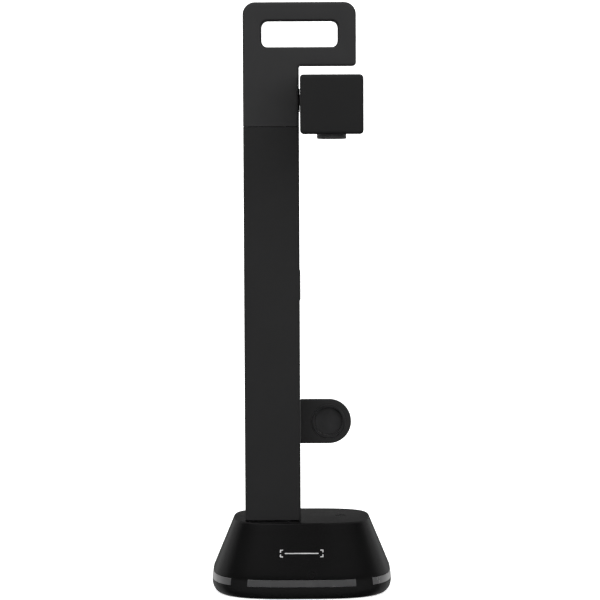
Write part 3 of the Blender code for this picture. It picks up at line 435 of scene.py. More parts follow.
def stepped(along, outline, rows):
    """Rings from (place, inset) rows and an outline that takes an inset."""
    rings = []
    for place, inset in rows:
        rings += along(outline(inset), (place,))
    return rings


def both_ends(low, high, edge):
    """(place, inset) rows of a body whose two ends have the same edge."""
    rows = [(low + advance, inset) for advance, inset in edge]
    return rows + [(high - advance, inset) for advance, inset in reversed(edge)]


def carve(target, tool, operation="DIFFERENCE"):
    """Apply a Boolean with a helper body and delete the helper."""
    modifier = target.modifiers.new("carve", "BOOLEAN")
    modifier.operation = operation
    modifier.object = tool
    modifier.solver = "EXACT"
    graph = bpy.context.evaluated_depsgraph_get()
    mesh = bpy.data.meshes.new_from_object(target.evaluated_get(graph))
    mesh.name = target.name
    target.modifiers.clear()
    target.data = mesh
    bpy.data.objects.remove(tool, do_unlink=True)
    return target


def mark_edges(obj):
    """Store how sharply each vertex's surface bends outward, for wear."""
    bm = bmesh.new()
    bm.from_mesh(obj.data)
    values = [0.0] * len(bm.verts)
    for edge in bm.edges:
        if len(edge.link_faces) != 2 or not edge.is_convex:
            continue
        first, second = edge.link_faces
        angle = edge.calc_face_angle(0.0)
        middle = (edge.verts[0].co + edge.verts[1].co) / 2
        spread = sum(face_reach(face, edge, middle) for face in (first, second))
        bend = angle / max(spread, 0.15 * MM) * MM
        amount = max(0.0, min(1.0, (bend - 0.12) / 0.5))
        for vertex in edge.verts:
            values[vertex.index] = max(values[vertex.index], amount)
    bm.free()
    layer = obj.data.attributes.new("edge_wear", "FLOAT", "POINT")
    layer.data.foreach_set("value", values)


def face_reach(face, edge, middle):
    """Half of how far a face reaches from one of its edges, at most 3 mm."""
    along = (edge.verts[1].co - edge.verts[0].co).normalized()
    reach = 0.0
    for vertex in face.verts:
        offset = vertex.co - middle
        reach = max(reach, (offset - along * offset.dot(along)).length)
    return min(reach, 3.0 * MM) / 2


def dress(obj, body, material, slot_name, *nodes, sharp=32):
    """Shade a piece, store its edge wear, put it on its body and hide the CAD nodes that it replaces.
    """
    obj.data.shade_smooth()
    obj.data.set_sharp_from_angle(angle=math.radians(sharp))
    mark_edges(obj)
    obj.data.materials.clear()
    obj.data.materials.append(material)
    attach(obj, body)
    if nodes:
        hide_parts(*nodes)


def axis_frame(axis):
    """Two cross directions and the direction of a turning axis."""
    units = [Vector(row) for row in ((1, 0, 0), (0, 1, 0), (0, 0, 1))]
    first = "XYZ".index(axis) - 2
    return units[first], units[first + 1], units[first + 2]


def turned(name, centre, axis, profile, points=72, hollow=False):
    """Turn (distance along the axis, radius) pairs about an axis."""
    across, up, along = axis_frame(axis)
    base = Vector(centre)
    spokes = []
    for i in range(points):
        angle = 2 * math.pi * i / points
        spokes.append(across * math.cos(angle) + up * math.sin(angle))
    rings = []
    for distance, radius in profile:
        rings.append([base + along * distance + spoke * radius for spoke in spokes])
    return loft(name, rings, closed=hollow)


def tool_pin(centre, axis, start, end, radius, points=48):
    """A plain cylinder for carving."""
    return turned("tool", centre, axis, [(start, radius), (end, radius)], points)


def tool_box(low, high):
    """A plain box for carving."""
    (x0, y0, z0), (x1, y1, z1) = low, high
    return loft("tool", along_z([(x0, y0), (x1, y0), (x1, y1), (x0, y1)], (z0, z1)))


def quarter(radius, steps=8):
    """(advance, inset) pairs along a quarter-round edge."""
    pairs = []
    for k in range(steps + 1):
        angle = math.pi / 2 * k / steps
        pairs.append((radius * (1 - math.cos(angle)), radius * (1 - math.sin(angle))))
    return pairs


def arc_points(centre, radius, start, end, steps):
    """Points on an arc in a plane."""
    points = []
    for k in range(steps + 1):
        angle = start + (end - start) * k / steps
        points.append((centre[0] + radius * math.cos(angle), centre[1] + radius * math.sin(angle)))
    return points


def rect_outline(x0, x1, z0, z1, radius, steps=10):
    """A rounded rectangle, counterclockwise."""
    half = math.pi / 2
    left, right, low, high = x0 + radius, x1 - radius, z0 + radius, z1 - radius
    points = []
    for k, centre in enumerate(((right, low), (right, high), (left, high), (left, low))):
        points += arc_points(centre, radius, half * (k - 1), half * k, steps)
    return points


def box_outline(low, high, inset, radius, steps=10):
    """A rounded rectangle between two plane corners, moved inward by inset."""
    return rect_outline(low[0] + inset, high[0] - inset, low[1] + inset, high[1] - inset, radius, steps)


def curve_between(first, corner, last, steps):
    """Quadratic blend between two rows of numbers around a corner."""
    rows = []
    for k in range(1, steps):
        t = k / steps
        start, middle, end = (1 - t) ** 2, 2 * t * (1 - t), t * t
        rows.append(tuple(start * a + middle * b + end * c for a, b, c in zip(first, corner, last)))
    return rows


# Base.

def squircle_point(a, b, z, angle):
    """One point of the base's outline."""
    cosine, sine = math.cos(angle), math.sin(angle)
    x = math.copysign(abs(cosine) ** (2 / BASE_POWER), cosine) * a
    y = math.copysign(abs(sine) ** (2 / BASE_POWER), sine) * b
    return (x, y, z)


def squircle(a, b, z):
    """The base's outline at one height, with evenly turning points."""
    ring = []
    for i in range(BASE_POINTS):
        turn = 4 * (i + 0.5) / BASE_POINTS
        side, part = int(turn), turn - int(turn)
        eased = 0.5 - 0.5 * math.cos(math.pi * part)
        mixed = 0.45 * part + 0.55 * (part ** 1.5 / (part ** 1.5 + (1 - part) ** 1.5))
        share = 0.5 * (mixed + 0.3 * eased + 0.7 * part)
        ring.append(squircle_point(a, b, z, math.pi / 2 * (side + share)))
    return ring


def knee(z, start, slope):
    """Inset that grows along a slope above a height, with a soft start."""
    rise = z - start
    return slope * (rise + math.hypot(rise, KNEE_WIDTH)) / 2


def base_size(z, high):
    """Height and half sizes of the base's outline at one height of its wall."""
    sizes = []
    for full, top, start in zip((high.x, high.y), BASE_TOP, KNEE_ZS):
        slope = (full - top) / (high.z - BASE_RIM_DROP - start)
        sizes.append(full - knee(z, start, slope))
    return (z, *sizes)


def base_profile(low, high):
    """(z, a, b) rows up the outside of the base."""
    wall = base_size(low.z + FOOT_HEIGHT, high)
    rows = []
    for advance, inset in quarter(1.0, 8):
        z = low.z + FOOT_HEIGHT * advance
        rows.append((z, wall[1] - FOOT_INSET[0] * inset, wall[2] - FOOT_INSET[1] * inset))
    z = wall[0]
    while z < KNEE_END_Z:
        z += KNEE_STEP
        rows.append(base_size(z, high))
    rim = (high.z - BASE_RIM_DROP, *BASE_TOP)
    for k in range(1, 6):
        rows.append(base_size(z + (rim[0] - z) * k / 6, high))
    edge = (high.z - 0.02, BASE_TOP[0] - 0.37, BASE_TOP[1] - 0.55)
    top = (high.z, BASE_TOP[0] - 1.3, BASE_TOP[1] - 1.6)
    return rows + [rim] + curve_between(rim, edge, top, 8) + [top]


def strip_angles():
    """Name, first and last outline angle of the three strips."""
    high = node_box("base_shell")[1]
    front = -math.acos((STRIP_FRONT_X / high.x) ** (BASE_POWER / 2))
    side = math.asin((STRIP_SIDE_Y / high.y) ** (BASE_POWER / 2))
    return [
        ("front", -math.pi - front, front),
        ("right", -side, side),
        ("left", math.pi - side, math.pi + side),
    ]


def strip_band(name, angles, z_range, inner, outer, corner, lean, steps):
    """A strip along the base's outline with rounded outer edges and a leaning face."""
    high = node_box("base_shell")[1]
    bottom, top = z_range
    part = 0.3 * corner
    leaning = outer + lean
    section = [(inner, bottom), (outer + corner, bottom), (outer + part, bottom + part)]
    section += [(outer, bottom + corner), (leaning, top - corner), (leaning + part, top - part)]
    section += [(leaning + corner, top), (inner, top)]
    rings = []
    for i in range(steps + 1):
        angle = angles[0] + (angles[1] - angles[0]) * i / steps
        rings.append([squircle_point(high.x - depth, high.y - depth, z, angle) for depth, z in section])
    return loft(name, rings)


def base_cover(looks):
    """Tapered squircle cover with strip grooves, key hole and socket opening."""
    low, high = node_box("base_shell")
    outer = base_profile(low, high)
    inner = [
        (high.z - BASE_DECK, BASE_TOP[0] - 2.5, BASE_TOP[1] - 2.7),
        (15.6, BASE_INNER[0] - 1.8, BASE_INNER[1] - 2.0),
        (12.6, *BASE_INNER),
        (6.6, *BASE_INNER),
        (4.6, *BASE_MOUTH),
        (low.z, *BASE_MOUTH),
    ]
    bm = bmesh.new()
    rows = [[bm.verts.new(point) for point in squircle(a, b, z)] for z, a, b in outer + inner]
    top = len(outer) - 1
    pairs = [(i, i + 1) for i in range(len(rows) - 1) if i != top] + [(len(rows) - 1, 0)]
    for first, second in pairs:
        for i in range(BASE_POINTS):
            j = (i + 1) % BASE_POINTS
            bm.faces.new((rows[first][i], rows[first][j], rows[second][j], rows[second][i]))
    bm.faces.new(rows[top])
    bm.faces.new(rows[top + 1])
    cover = finish_mesh(bm, "base_cover")
    for _, start, end in strip_angles():
        carve(cover, strip_band("tool", (start, end), STRIP_Z, STRIP_DEPTH, -2.0, 0.0, 0.0, 60))
    key = node_centre("capture_key")
    lip = ((-5.0, 0.12), (-0.25, 0.12), (-0.05, 0.2), (0.05, 0.35), (5.0, 0.35))
    lip = [(high.z + rise, KEY_RADIUS + spare) for rise, spare in lip]
    carve(cover, turned("tool", (key.x, key.y, 0), "Z", lip, 64))
    dx, dy = SPINE_INSET
    spine_low, spine_high = node_box("column_spine")
    hole_low = (spine_low.x + dx, spine_low.y + dy, high.z - 5.0)
    carve(cover, tool_box(hole_low, (spine_high.x - dx, spine_high.y - dy, high.z + 5.0)))
    usb_low, usb_high = node_box("usb_socket")
    port = box_outline(usb_low.xz, usb_high.xz, -0.5, 2.0)
    carve(cover, loft("tool", along_y(port, (40.0, 60.0))))
    dress(cover, "base", looks["base"], "base_plastic", "base_shell")


def trim_strips(looks):
    """Grey strips let into the foot of the base."""
    heights = (STRIP_Z[0] + GAP / 2, STRIP_Z[1] - GAP / 2)
    inner = STRIP_DEPTH - GAP
    for name, start, end in strip_angles():
        span = (start + STRIP_PLAY, end - STRIP_PLAY)
        strip = strip_band(f"foot_strip_{name}", span, heights, inner, 0.1, 0.25, STRIP_LEAN, 90)
        dress(strip, "base", looks["strip"], "strip_rubber", f"trim_strip_{name}", sharp=50)


def base_underside(looks):
    """Rubber mat with its ring grooves."""
    high = node_box("anti_slip_mat")[1]
    a, b = high.x, high.y
    edge = ((0.6, 0.0), (0.15, 0.12), (0.0, 0.5), (0.0, high.z))
    mat = loft("rubber_mat", [squircle(a - inset, b - inset, z) for inset, z in edge])
    for inset in (6.0, 12.0, 18.0):
        walls = ((inset, -1.0), (inset, 0.35), (inset + 1.6, 0.35), (inset + 1.6, -1.0))
        groove = [squircle(a - side, b - side, z) for side, z in walls]
        carve(mat, loft("tool", groove, closed=True))
    dress(mat, "base", looks["black"], "black_rubber", "anti_slip_mat")


def capture_key(looks):
    """Round key with a shallow dish and a soft rim."""
    low, high = node_box("capture_key")
    centre = node_centre("capture_key")
    flange = (high.x - low.x) / 2
    dish = KEY_RADIUS - 0.7
    profile = [(low.z, flange), (low.z + 1.2, flange), (low.z + 1.2, KEY_RADIUS)]
    for drop, inset in ((0.4, 0.0), (0.15, 0.07), (0.03, 0.25), (0.0, 0.5)):
        profile.append((high.z - drop, KEY_RADIUS - inset))
    for k in range(8):
        radius = dish * (1 - k / 8)
        profile.append((high.z - 0.02 - 0.12 * (1 - (radius / dish) ** 2), max(radius, 0.3)))
    key = turned("round_key", (centre.x, centre.y, 0), "Z", profile, 64)
    dress(key, "key", looks["key"], "dark_plastic", "capture_key")


def usb_port(looks):
    """Rounded metal socket with a slight lip and a hollow inside."""
    low, high = node_box("usb_socket")
    rings = along_y(box_outline(low.xz, high.xz, 0.0, 1.65), (low.y, high.y - 0.15))
    rings += along_y(box_outline(low.xz, high.xz, 0.12, 1.53), (high.y,))
    rings += along_y(box_outline(low.xz, high.xz, 0.4, 1.28), (high.y - 0.1, low.y + 1.0))
    socket = loft("port_shell", rings)
    dress(socket, "base", looks["screw"], "screw_steel", "usb_socket")


def front_pictogram(looks):
    """Plain printed sign on the base's front: a bar between four corner brackets."""
    high = node_box("base_shell")[1]
    lower, upper = (Vector((0.0, -base_size(z, high)[2], z)) for z in (20.0, 40.0))
    along = (upper - lower).normalized()
    outward = Vector((0.0, -along.z, along.y))
    middle = (lower + upper) / 2 + along * SIGN_SHIFT - outward * 0.25
    wide, tall, arm, line = 14.2, 2.7, 2.0, 0.7
    strokes = [(-wide + 3.2, wide - 3.2, -line / 2, line / 2)]
    for side in (-1, 1):
        for end in (-1, 1):
            for reach, rise in ((arm, line), (line, arm)):
                xs = sorted((side * wide, side * (wide - reach)))
                vs = sorted((end * tall, end * (tall - rise)))
                strokes.append((*xs, *vs))
    sign = None
    for x0, x1, v0, v1 in strokes:
        body = sign_body(rect_outline(x0, x1, v0, v1, line * 0.3, 4), middle, along, outward)
        sign = body if sign is None else carve(sign, body, "UNION")
    sign.name = "page_sign"
    dress(sign, "base", looks["print"], "strip_rubber")


def sign_body(outline, middle, along, outward):
    """A thin plate on the base's slanted front."""
    rings = []
    for depth in (-0.1, 0.3):
        rings.append([middle + Vector((x, 0, 0)) + along * v + outward * depth for x, v in outline])
    return loft("sign", rings)


# Column.

def column_section(y_face, y_split, inset):
    """U-shaped section of a column shell; inset shrinks only its outside."""
    low, high = node_box("column_front_shell")
    x0, x1 = low.x, high.x
    sign = 1 if y_split > y_face else -1
    scale = (EDGE_RADIUS - inset) / EDGE_RADIUS
    outer = [(x0 + inset + shrink, y_split - sign * back) for back, shrink in reversed(SEAM_EDGE)]
    for advance, shrink in reversed(quarter(EDGE_RADIUS)):
        outer.append((x0 + inset + shrink * scale, y_face + sign * (inset + advance * scale)))
    mirrored = [(x0 + x1 - x, y) for x, y in reversed(outer)]
    left, right = x0 + COLUMN_WALL, x1 - COLUMN_WALL
    y_in = y_face + sign * COLUMN_WALL
    return outer + mirrored + [(right, y_split), (right, y_in), (left, y_in), (left, y_split)]


def column_shell(name, node, y_face, y_split):
    """One moulded half of the column with softened ends."""
    low, high = node_box(node)

    def outline(inset):
        return column_section(y_face, y_split, inset)

    rows = both_ends(low.z, high.z, ((0.0, 0.35), (0.1, 0.1), (0.35, 0.0)))
    return loft(name, stepped(along_z, outline, rows))


def bumper_recess():
    """Seat of the bumper in the column's right wall."""
    low, high = node_box("bumper_pad")
    return tool_box((low.x - GAP, low.y - GAP, low.z - GAP), (high.x + 2.0, high.y + GAP, high.z + GAP))


def tongue(grow):
    """Tongue on the dock's root that locates in the column's side, grown by a gap."""
    root_x = node_box("column_rear_shell")[1].x
    z = node_centre("dock_ring").z
    low = (root_x - 1.0 - grow, TONGUE_Y[0] - grow, z - TONGUE_HALF_HEIGHT - grow)
    return tool_box(low, (root_x + 1.5, TONGUE_Y[1] + grow, z + TONGUE_HALF_HEIGHT + grow))


def column(looks):
    """Front and back halves of the column and their screws."""
    low, high = node_box("column_front_shell")
    front = column_shell("column_front", "column_front_shell", low.y, SPLIT_Y - GAP / 2)
    carve(front, bumper_recess())
    dress(front, "base", looks["column"], "column_plastic", "column_front_shell")
    rear_y = node_box("column_rear_shell")[1].y
    rear = column_shell("column_rear", "column_rear_shell", rear_y, SPLIT_Y + GAP / 2)
    carve(rear, bumper_recess())
    carve(rear, tongue(GAP))
    middle = (low.x + high.x) / 2
    bore = screw_bore((5.0, 1.6), 18.5, 2.8, rear_y)
    for z in COLUMN_SCREW_ZS:
        carve(rear, tool_pin((middle, 0, z), "Y", *COLUMN_POST_YS, COLUMN_POST), "UNION")
        carve(rear, turned("tool", (middle, 0, z), "Y", bore, 48))
    dress(rear, "base", looks["column"], "column_plastic", "column_rear_shell")
    for tag, z in zip(("low", "high"), COLUMN_SCREW_ZS):
        place = (middle, 0, z)
        machine_screw(f"rear_screw_{tag}", place, 18.8, 2.5, 10.5, looks, f"column_screw_{tag}")


def screw_bore(start, seat, head, face):
    """Profile of a bore along Y for a screw that goes in from the back."""
    (first, shank), lip = start, head + 0.25
    return [(first, shank), (seat, shank), (seat, head), (face - 0.3, head), (face, lip), (25.0, lip)]


def machine_screw(name, centre, seat, head, length, looks, node):
    """Pan-head screw with a cross recess, put in from the back along Y."""
    height = head * 0.7
    dome = ((1.0, 0.3), (1.0, 0.6), (0.93, 0.78), (0.72, 0.93), (0.4, 1.0), (0.0, 1.0))
    profile = [(seat + height * rise, head * wide) for rise, wide in dome]
    profile += [(seat, 1.1), (seat - length + 1.0, 1.1), (seat - length, 0.4)]
    screw = turned(name, centre, "Y", profile, 40)
    across, up, along = axis_frame("Y")
    base = Vector(centre) + along * (seat + height)
    recess = ((0.5, head * 0.62, head * 0.16), (-height * 0.62, head * 0.3, head * 0.1))
    for first, second in ((across, up), (up, across)):
        rings = []
        for depth, long, wide in recess:
            ring = []
            for p, q in ((-1, -1), (1, -1), (1, 1), (-1, 1)):
                ring.append(base + along * depth + first * p * long + second * q * wide)
            rings.append(ring)
        carve(screw, loft("tool", rings))
    dress(screw, "base", looks["screw"], "screw_steel", node)


def bumper(looks):
    """Rubber pad with rounded edges and three grip grooves."""
    low, high = node_box("bumper_pad")

    def outline(inset):
        return box_outline(low.yz, high.yz, inset, 1.5 - inset * 0.6)

    rows = [(low.x, 0.0)]
    rows += [(high.x - advance, inset) for advance, inset in reversed(quarter(0.8, 5))]
    pad = loft("rest_pad", stepped(along_x, outline, rows))
    middle = node_centre("bumper_pad").z
    for z in (middle - 4.0, middle, middle + 4.0):
        groove_low = (high.x - 0.35, low.y - 1, z - 0.4)
        carve(pad, tool_box(groove_low, (high.x + 1, high.y + 1, z + 0.4)))
    dress(pad, "base", looks["bumper"], "bumper_rubber", "bumper_pad")


# Head.

def head_outline(inset):
    """Outline of the head in X and Z, moved inward by inset except at its foot."""
    low, high = node_box("head_front_shell")
    x0, x1, z0, z1 = low.x + inset, high.x - inset, low.z, high.z - inset
    stem = node_box("column_front_shell")[1].x - inset
    bar = CROSSBAR_Z + inset
    half = math.pi / 2
    corner = HEAD_CORNER - inset
    small = max(2.6 - inset, 0.15)
    inside = 1.0 + inset
    steps = 10
    points = [(x0, z0), (stem, z0)]
    points += arc_points((stem + inside, bar - inside), inside, math.pi, half, steps)
    points += arc_points((x1 - small, bar + small), small, -half, 0, steps)
    points += arc_points((x1 - corner, z1 - corner), corner, 0, half, steps)
    points += arc_points((x0 + corner, z1 - corner), corner, half, math.pi, steps)
    return points


def slot_outline(grow):
    """Outline of the handle's slot, grown outward."""
    low, high = (-SLOT_X, SLOT_Z[0]), (SLOT_X, SLOT_Z[1])
    return box_outline(low, high, -grow, SLOT_CORNER + grow)


def open_foot(inset):
    """Inner outline of the head that runs out through its foot."""
    foot = node_box("head_front_shell")[0].z
    return [(x, z - 10.0 if z < foot + 0.01 else z) for x, z in head_outline(inset)]


def head_half(name, node, y_face, y_split, looks, bore):
    """One moulded half of the head: rounded outside, hollow, slot and screw posts."""
    sign = 1 if y_split > y_face else -1
    rows = [(y_face + sign * advance, inset) for advance, inset in quarter(EDGE_RADIUS)]
    rows += [(y_split - sign * back, inset) for back, inset in SEAM_EDGE]
    shell = loft(name, stepped(along_y, head_outline, rows))
    hollow = (y_face + sign * HEAD_WALL, y_split + sign * 3.0)
    carve(shell, loft("tool", along_y(open_foot(HEAD_WALL), hollow)))
    carve(shell, loft("tool", along_y(slot_outline(SLOT_WALL), (y_face + sign, y_split))), "UNION")
    for x in (-SCREW_X, SCREW_X):
        carve(shell, tool_pin((x, 0, SCREW_Z), "Y", y_face + sign, y_split, HEAD_POST), "UNION")
        carve(shell, turned("tool", (x, 0, SCREW_Z), "Y", bore, 48))
    flare = [(y_face - sign * 2.0, SLOT_LIP)]
    flare += [(y_face + sign * advance, inset) for advance, inset in quarter(SLOT_LIP, 6)]
    flare += [(y_split + sign * 3.0, 0.0)]
    carve(shell, loft("tool", stepped(along_y, slot_outline, flare)))
    for tool in hinge_cutters():
        carve(shell, tool)
    dress(shell, "base", looks["head"], "head_plastic", node)


def hinge_cutters():
    """Tools for the shaft's bore and the collar's seat."""
    low, high = node_box("hinge_collar")
    yield tool_pin((0, HINGE_Y, HINGE_Z), "X", -6.0, 4.0, SHAFT_BORE)
    yield tool_pin((0, HINGE_Y, HINGE_Z), "X", low.x - GAP, 4.0, (high.z - low.z) / 2 + GAP, 96)


def head_seals(looks):
    """Thin dark seals in the seam between the head's halves, so that no light shows through."""
    half = GAP / 2 - SEAL_PLAY
    faces = (SPLIT_Y - half, SPLIT_Y + half)
    beyond = (SPLIT_Y - 1.0, SPLIT_Y + 1.0)
    wide = SEAL_INSET + SEAL_WIDTH
    rim = loft("head_rim_seal", along_y(head_outline(SEAL_INSET), faces))
    carve(rim, loft("tool", along_y(open_foot(wide), beyond)))
    for tool in hinge_cutters():
        carve(rim, tool)
    dress(rim, "base", looks["dark"], "head_plastic")
    ring = loft("grip_slot_seal", along_y(slot_outline(wide), faces))
    carve(ring, loft("tool", along_y(slot_outline(SEAL_INSET), beyond)))
    dress(ring, "base", looks["dark"], "head_plastic")


def head(looks):
    """Both halves of the head and the handle's screws."""
    front_y, rear_y = node_box("head_front_shell")[0].y, node_box("head_rear_shell")[1].y
    bore = [(-16.0, SCREW_BORE), (0.0, SCREW_BORE)]
    head_half("head_front", "head_front_shell", front_y, SPLIT_Y - GAP / 2, looks, bore)
    bore = screw_bore((-5.0, SCREW_BORE), 17.5, 2.4, rear_y)
    head_half("head_rear", "head_rear_shell", rear_y, SPLIT_Y + GAP / 2, looks, bore)
    for side, x in (("left", -SCREW_X), ("right", SCREW_X)):
        place = (x, 0, SCREW_Z)
        machine_screw(f"grip_screw_{side}", place, 17.8, 2.1, 30.0, looks, f"handle_screw_{side}")


def hinge_ring(looks):
    """Black spacer ring between the head and the arm."""
    low, high = node_box("hinge_collar")
    radius = (high.z - low.z) / 2
    x0, x1 = low.x, node_box("arm_shell")[0].x - ARM_LEFT_SKIN - COLLAR_PLAY
    profile = [(x0 + 0.15, 3.8), (x0, 4.0), (x0, radius - 0.2), (x0 + 0.15, radius)]
    profile += [(x1 - 0.15, radius), (x1, radius - 0.2), (x1, 4.0), (x1 - 0.15, 3.8)]
    ring = turned("spacer_ring", (0, HINGE_Y, HINGE_Z), "X", profile, 96, hollow=True)
    dress(ring, "base", looks["black"], "black_rubber", "hinge_collar")


# Dock.

def dock(looks):
    """Tab with a round end, its pocket, and the soft ring of the cup."""
    low, high = node_box("dock_tab")
    ring_low, ring_high = node_box("dock_ring")
    centre = node_centre("dock_ring")
    radius = (high.z - low.z) / 2
    root_x = node_box("column_rear_shell")[1].x + GAP
    end = (high.x - radius, centre.z)

    def outline(inset):
        return tab_outline(root_x, end, radius - inset)

    tab = loft("lens_dock", stepped(along_y, outline, both_ends(low.y, high.y, quarter(1.0, 6))))
    carve(tab, tongue(0.0), "UNION")
    place = (centre.x, 0, centre.z)
    rim = (ring_high.z - ring_low.z) / 2
    carve(tab, tool_pin(place, "Y", 10.0, CUP_FLOOR_Y, rim + SNUG, 96))
    carve(tab, tool_pin(place, "Y", 10.0, CUP_FLOOR_Y + 0.4, CUP_BORE - 0.4, 96))
    for dz in (-DOCK_SCREW_DZ, DOCK_SCREW_DZ):
        carve(tab, tool_pin((0, DOCK_SCREW_Y, centre.z + dz), "X", -3.0, 6.0, 1.3))
    dress(tab, "base", looks["dock"], "column_plastic", "dock_tab")
    y0, y1 = ring_low.y, ring_high.y
    edge = ((0.5, 0.0), (0.2, 0.1), (0.03, 0.4), (0.0, 0.7))
    bore = ((0.03, 0.7), (0.2, 0.35), (0.6, 0.1), (1.4, 0.02), (1.6, 0.2), (1.9, 0.2), (2.1, 0.02))
    profile = [(y1, rim)] + [(y0 + depth, rim - inset) for depth, inset in edge]
    profile += [(y0 + depth, CUP_BORE + spare) for depth, spare in bore] + [(y1, CUP_BORE)]
    ring = turned("cup_ring", place, "Y", profile, 128, hollow=True)
    dress(ring, "base", looks["rim"], "rim_rubber", "dock_ring")
    # Seal that plugs the gap between column and dock; its pale grey is a painted highlight for the lit
    # edge of the column at this joint.
    z0, z1 = centre.z - TONGUE_HALF_HEIGHT, centre.z + TONGUE_HALF_HEIGHT
    plug = rect_outline(low.y + 0.1, TONGUE_Y[0] - 0.02, z0, z1, 0.3, 4)
    seal = loft("dock_seal_painted_highlight", along_x(plug, (root_x - GAP, root_x)))
    dress(seal, "base", looks["seal"], "rim_rubber")
    # Thin felt pad on the cup floor. Its tone, lighter than the tab and ring, is painted light that
    # lifts the floor out of the recess's shade.
    reach = CUP_BORE - 0.45
    felt = ((0.38, 0.0), (0.15, 0.0), (0.02, 0.15), (0.0, 0.4))
    profile = [(CUP_FLOOR_Y + depth, reach - inset) for depth, inset in felt]
    dress(turned("cup_felt_painted_light", place, "Y", profile, 96), "base", looks["felt"], "rim_rubber")


def tab_outline(root_x, end, radius):
    """Outline of the dock tab in X and Z, with a round end about a centre."""
    half = math.pi / 2
    points = [(root_x, end[1] - radius)] + arc_points(end, radius, -half, half, 48)
    return points + [(root_x, end[1] + radius)]


# Arm.

def arm_outline(inset):
    """Side outline of the arm in Y and Z: round hinge end, and a front end that rises slightly."""
    low, high = node_box("arm_shell")
    radius = (high.z - low.z - ARM_TOP_RISE) / 2 - inset
    front = low.y + inset
    corner = max(2.4 - inset, 0.2)
    half = math.pi / 2
    points = arc_points((front + corner, HINGE_Z - radius + corner), corner, math.pi, 3 * half, 8)
    points += arc_points((HINGE_Y, HINGE_Z), radius, -half, half, 56)
    top = HINGE_Z + ARM_TOP_RISE + radius
    points += arc_points((front + corner, top - corner), corner, half, math.pi, 8)
    return points


def arm_housing(looks):
    """One-piece arm housing, open underneath in front of the hinge."""
    low, high = node_box("arm_shell")
    rows = both_ends(low.x - ARM_LEFT_SKIN, high.x, quarter(ARM_EDGE))
    housing = loft("arm_housing", stepped(along_x, arm_outline, rows))
    x0, x1 = low.x + ARM_WALL, high.x - ARM_WALL
    carve(housing, loft("tool", along_x(arm_outline(ARM_WALL), (x0, x1))))
    mouth = rect_outline(x0, x1, low.y + ARM_WALL, COVER_REAR_Y, 1.2, 4)
    carve(housing, loft("tool", along_z(mouth, (ARM_BELOW_Z, ARM_MOUTH_Z))))
    carve(housing, tool_pin((0, HINGE_Y, HINGE_Z), "X", -1.0, 6.0, SHAFT_BORE))
    for y in HUB_SCREW_YS:
        carve(housing, tool_pin((HUB_X, y, 0), "Z", *HUB_POST_ZS, HUB_POST, 24), "UNION")
        carve(housing, tool_pin((HUB_X, y, 0), "Z", *HUB_BORE_ZS, SCREW_BORE, 24))
    dress(housing, "arm", looks["arm"], "column_plastic", "arm_shell")


def arm_cover(looks):
    """Flat cover with rounded corners and its lens, lamp and screw openings."""
    low, high = node_box("arm_cover")
    middle = node_centre("lens_barrel")

    def outline(inset):
        return box_outline(low.xy, high.xy, inset, 1.0, 4)

    rows = ((low.z, 0.25), (low.z + 0.07, 0.07), (low.z + 0.25, 0.0), (high.z, 0.0))
    cover = loft("under_cover", stepped(along_z, outline, rows))
    flared = LENS_OPENING + 0.35
    lip = [(ARM_BELOW_Z, flared), (low.z, flared)]
    lip += [(low.z + 0.3, LENS_OPENING), (ARM_INSIDE_Z, LENS_OPENING)]
    carve(cover, turned("tool", (middle.x, middle.y, 0), "Z", lip, 96))
    wide, deep = LAMP_OPENING
    lamp = rect_outline(middle.x - wide, middle.x + wide, LAMP_Y - deep, LAMP_Y + deep, deep - 0.1)
    carve(cover, loft("tool", along_z(lamp, (ARM_BELOW_Z, ARM_INSIDE_Z))))
    seat = low.z + 1.1
    bore = [(ARM_BELOW_Z, 2.4), (seat, 2.4), (seat, SCREW_BORE), (ARM_INSIDE_Z, SCREW_BORE)]
    for y in COVER_SCREW_YS:
        carve(cover, turned("tool", (middle.x, y, 0), "Z", bore, 48))
    dress(cover, "arm", looks["arm"], "column_plastic", "arm_cover")


def lamp_window(looks):
    """Frosted lamp window with a softened rim."""
    low, high = node_box("led_window")

    def outline(inset):
        return box_outline(low.xy, high.xy, inset, 2.9 - inset)

    rows = ((low.z, 0.4), (low.z + 0.1, 0.15), (low.z + 0.4, 0.0), (high.z, 0.0))
    window = loft("lamp_window", stepped(along_z, outline, rows))
    dress(window, "arm", looks["frosted"], "frosted_window", "led_window")


def lens(looks):
    """Lens barrel with a ribbed throat, and its domed front glass."""
    low, high = node_box("lens_barrel")
    centre = node_centre("lens_barrel")
    place = (centre.x, centre.y, 0)
    nose = [(0.9, 7.4), (0.25, 7.45), (0.05, 7.6), (0.0, 7.8), (0.0, 8.1), (0.1, 8.4), (0.5, 8.6)]
    nose += [(0.8, LENS_TUBE), (1.8, LENS_TUBE), (1.95, 8.5), (2.25, 8.5), (2.4, LENS_TUBE)]
    profile = [(low.z + rise, radius) for rise, radius in nose]
    under, over = LENS_FLANGE_Z
    profile += [(under, LENS_TUBE), (under, LENS_FLANGE), (over, LENS_FLANGE), (over, LENS_TUBE)]
    profile += [(high.z, LENS_TUBE), (high.z, LENS_THROAT)]
    rib = ((0.0, 0.0), (0.4, 0.0), (0.5, 0.2), (0.9, 0.2))
    for step in range(4):
        top = under - 0.4 - step
        profile += [(top - drop, LENS_THROAT + depth) for drop, depth in rib]
    profile += [(low.z + 1.7, LENS_THROAT), (low.z + 1.7, 7.4)]
    tube = turned("lens_tube", place, "Z", profile, 128, hollow=True)
    dress(tube, "arm", looks["barrel"], "barrel_plastic", "lens_barrel")
    glass_low, glass_high = node_box("lens_glass")
    dome = []
    for k in range(8):
        radius = 0.3 + (GLASS_DOME - 0.3) * k / 7
        dome.append((glass_low.z + 0.2 * (radius / GLASS_DOME) ** 2, radius))
    dome += [(glass_low.z + 0.35, 7.0), (glass_low.z + 0.5, 7.1), (glass_high.z, 7.1)]
    glass = turned("front_glass", place, "Z", dome, 96)
    dress(glass, "arm", looks["lens"], "lens_glass", "lens_glass")


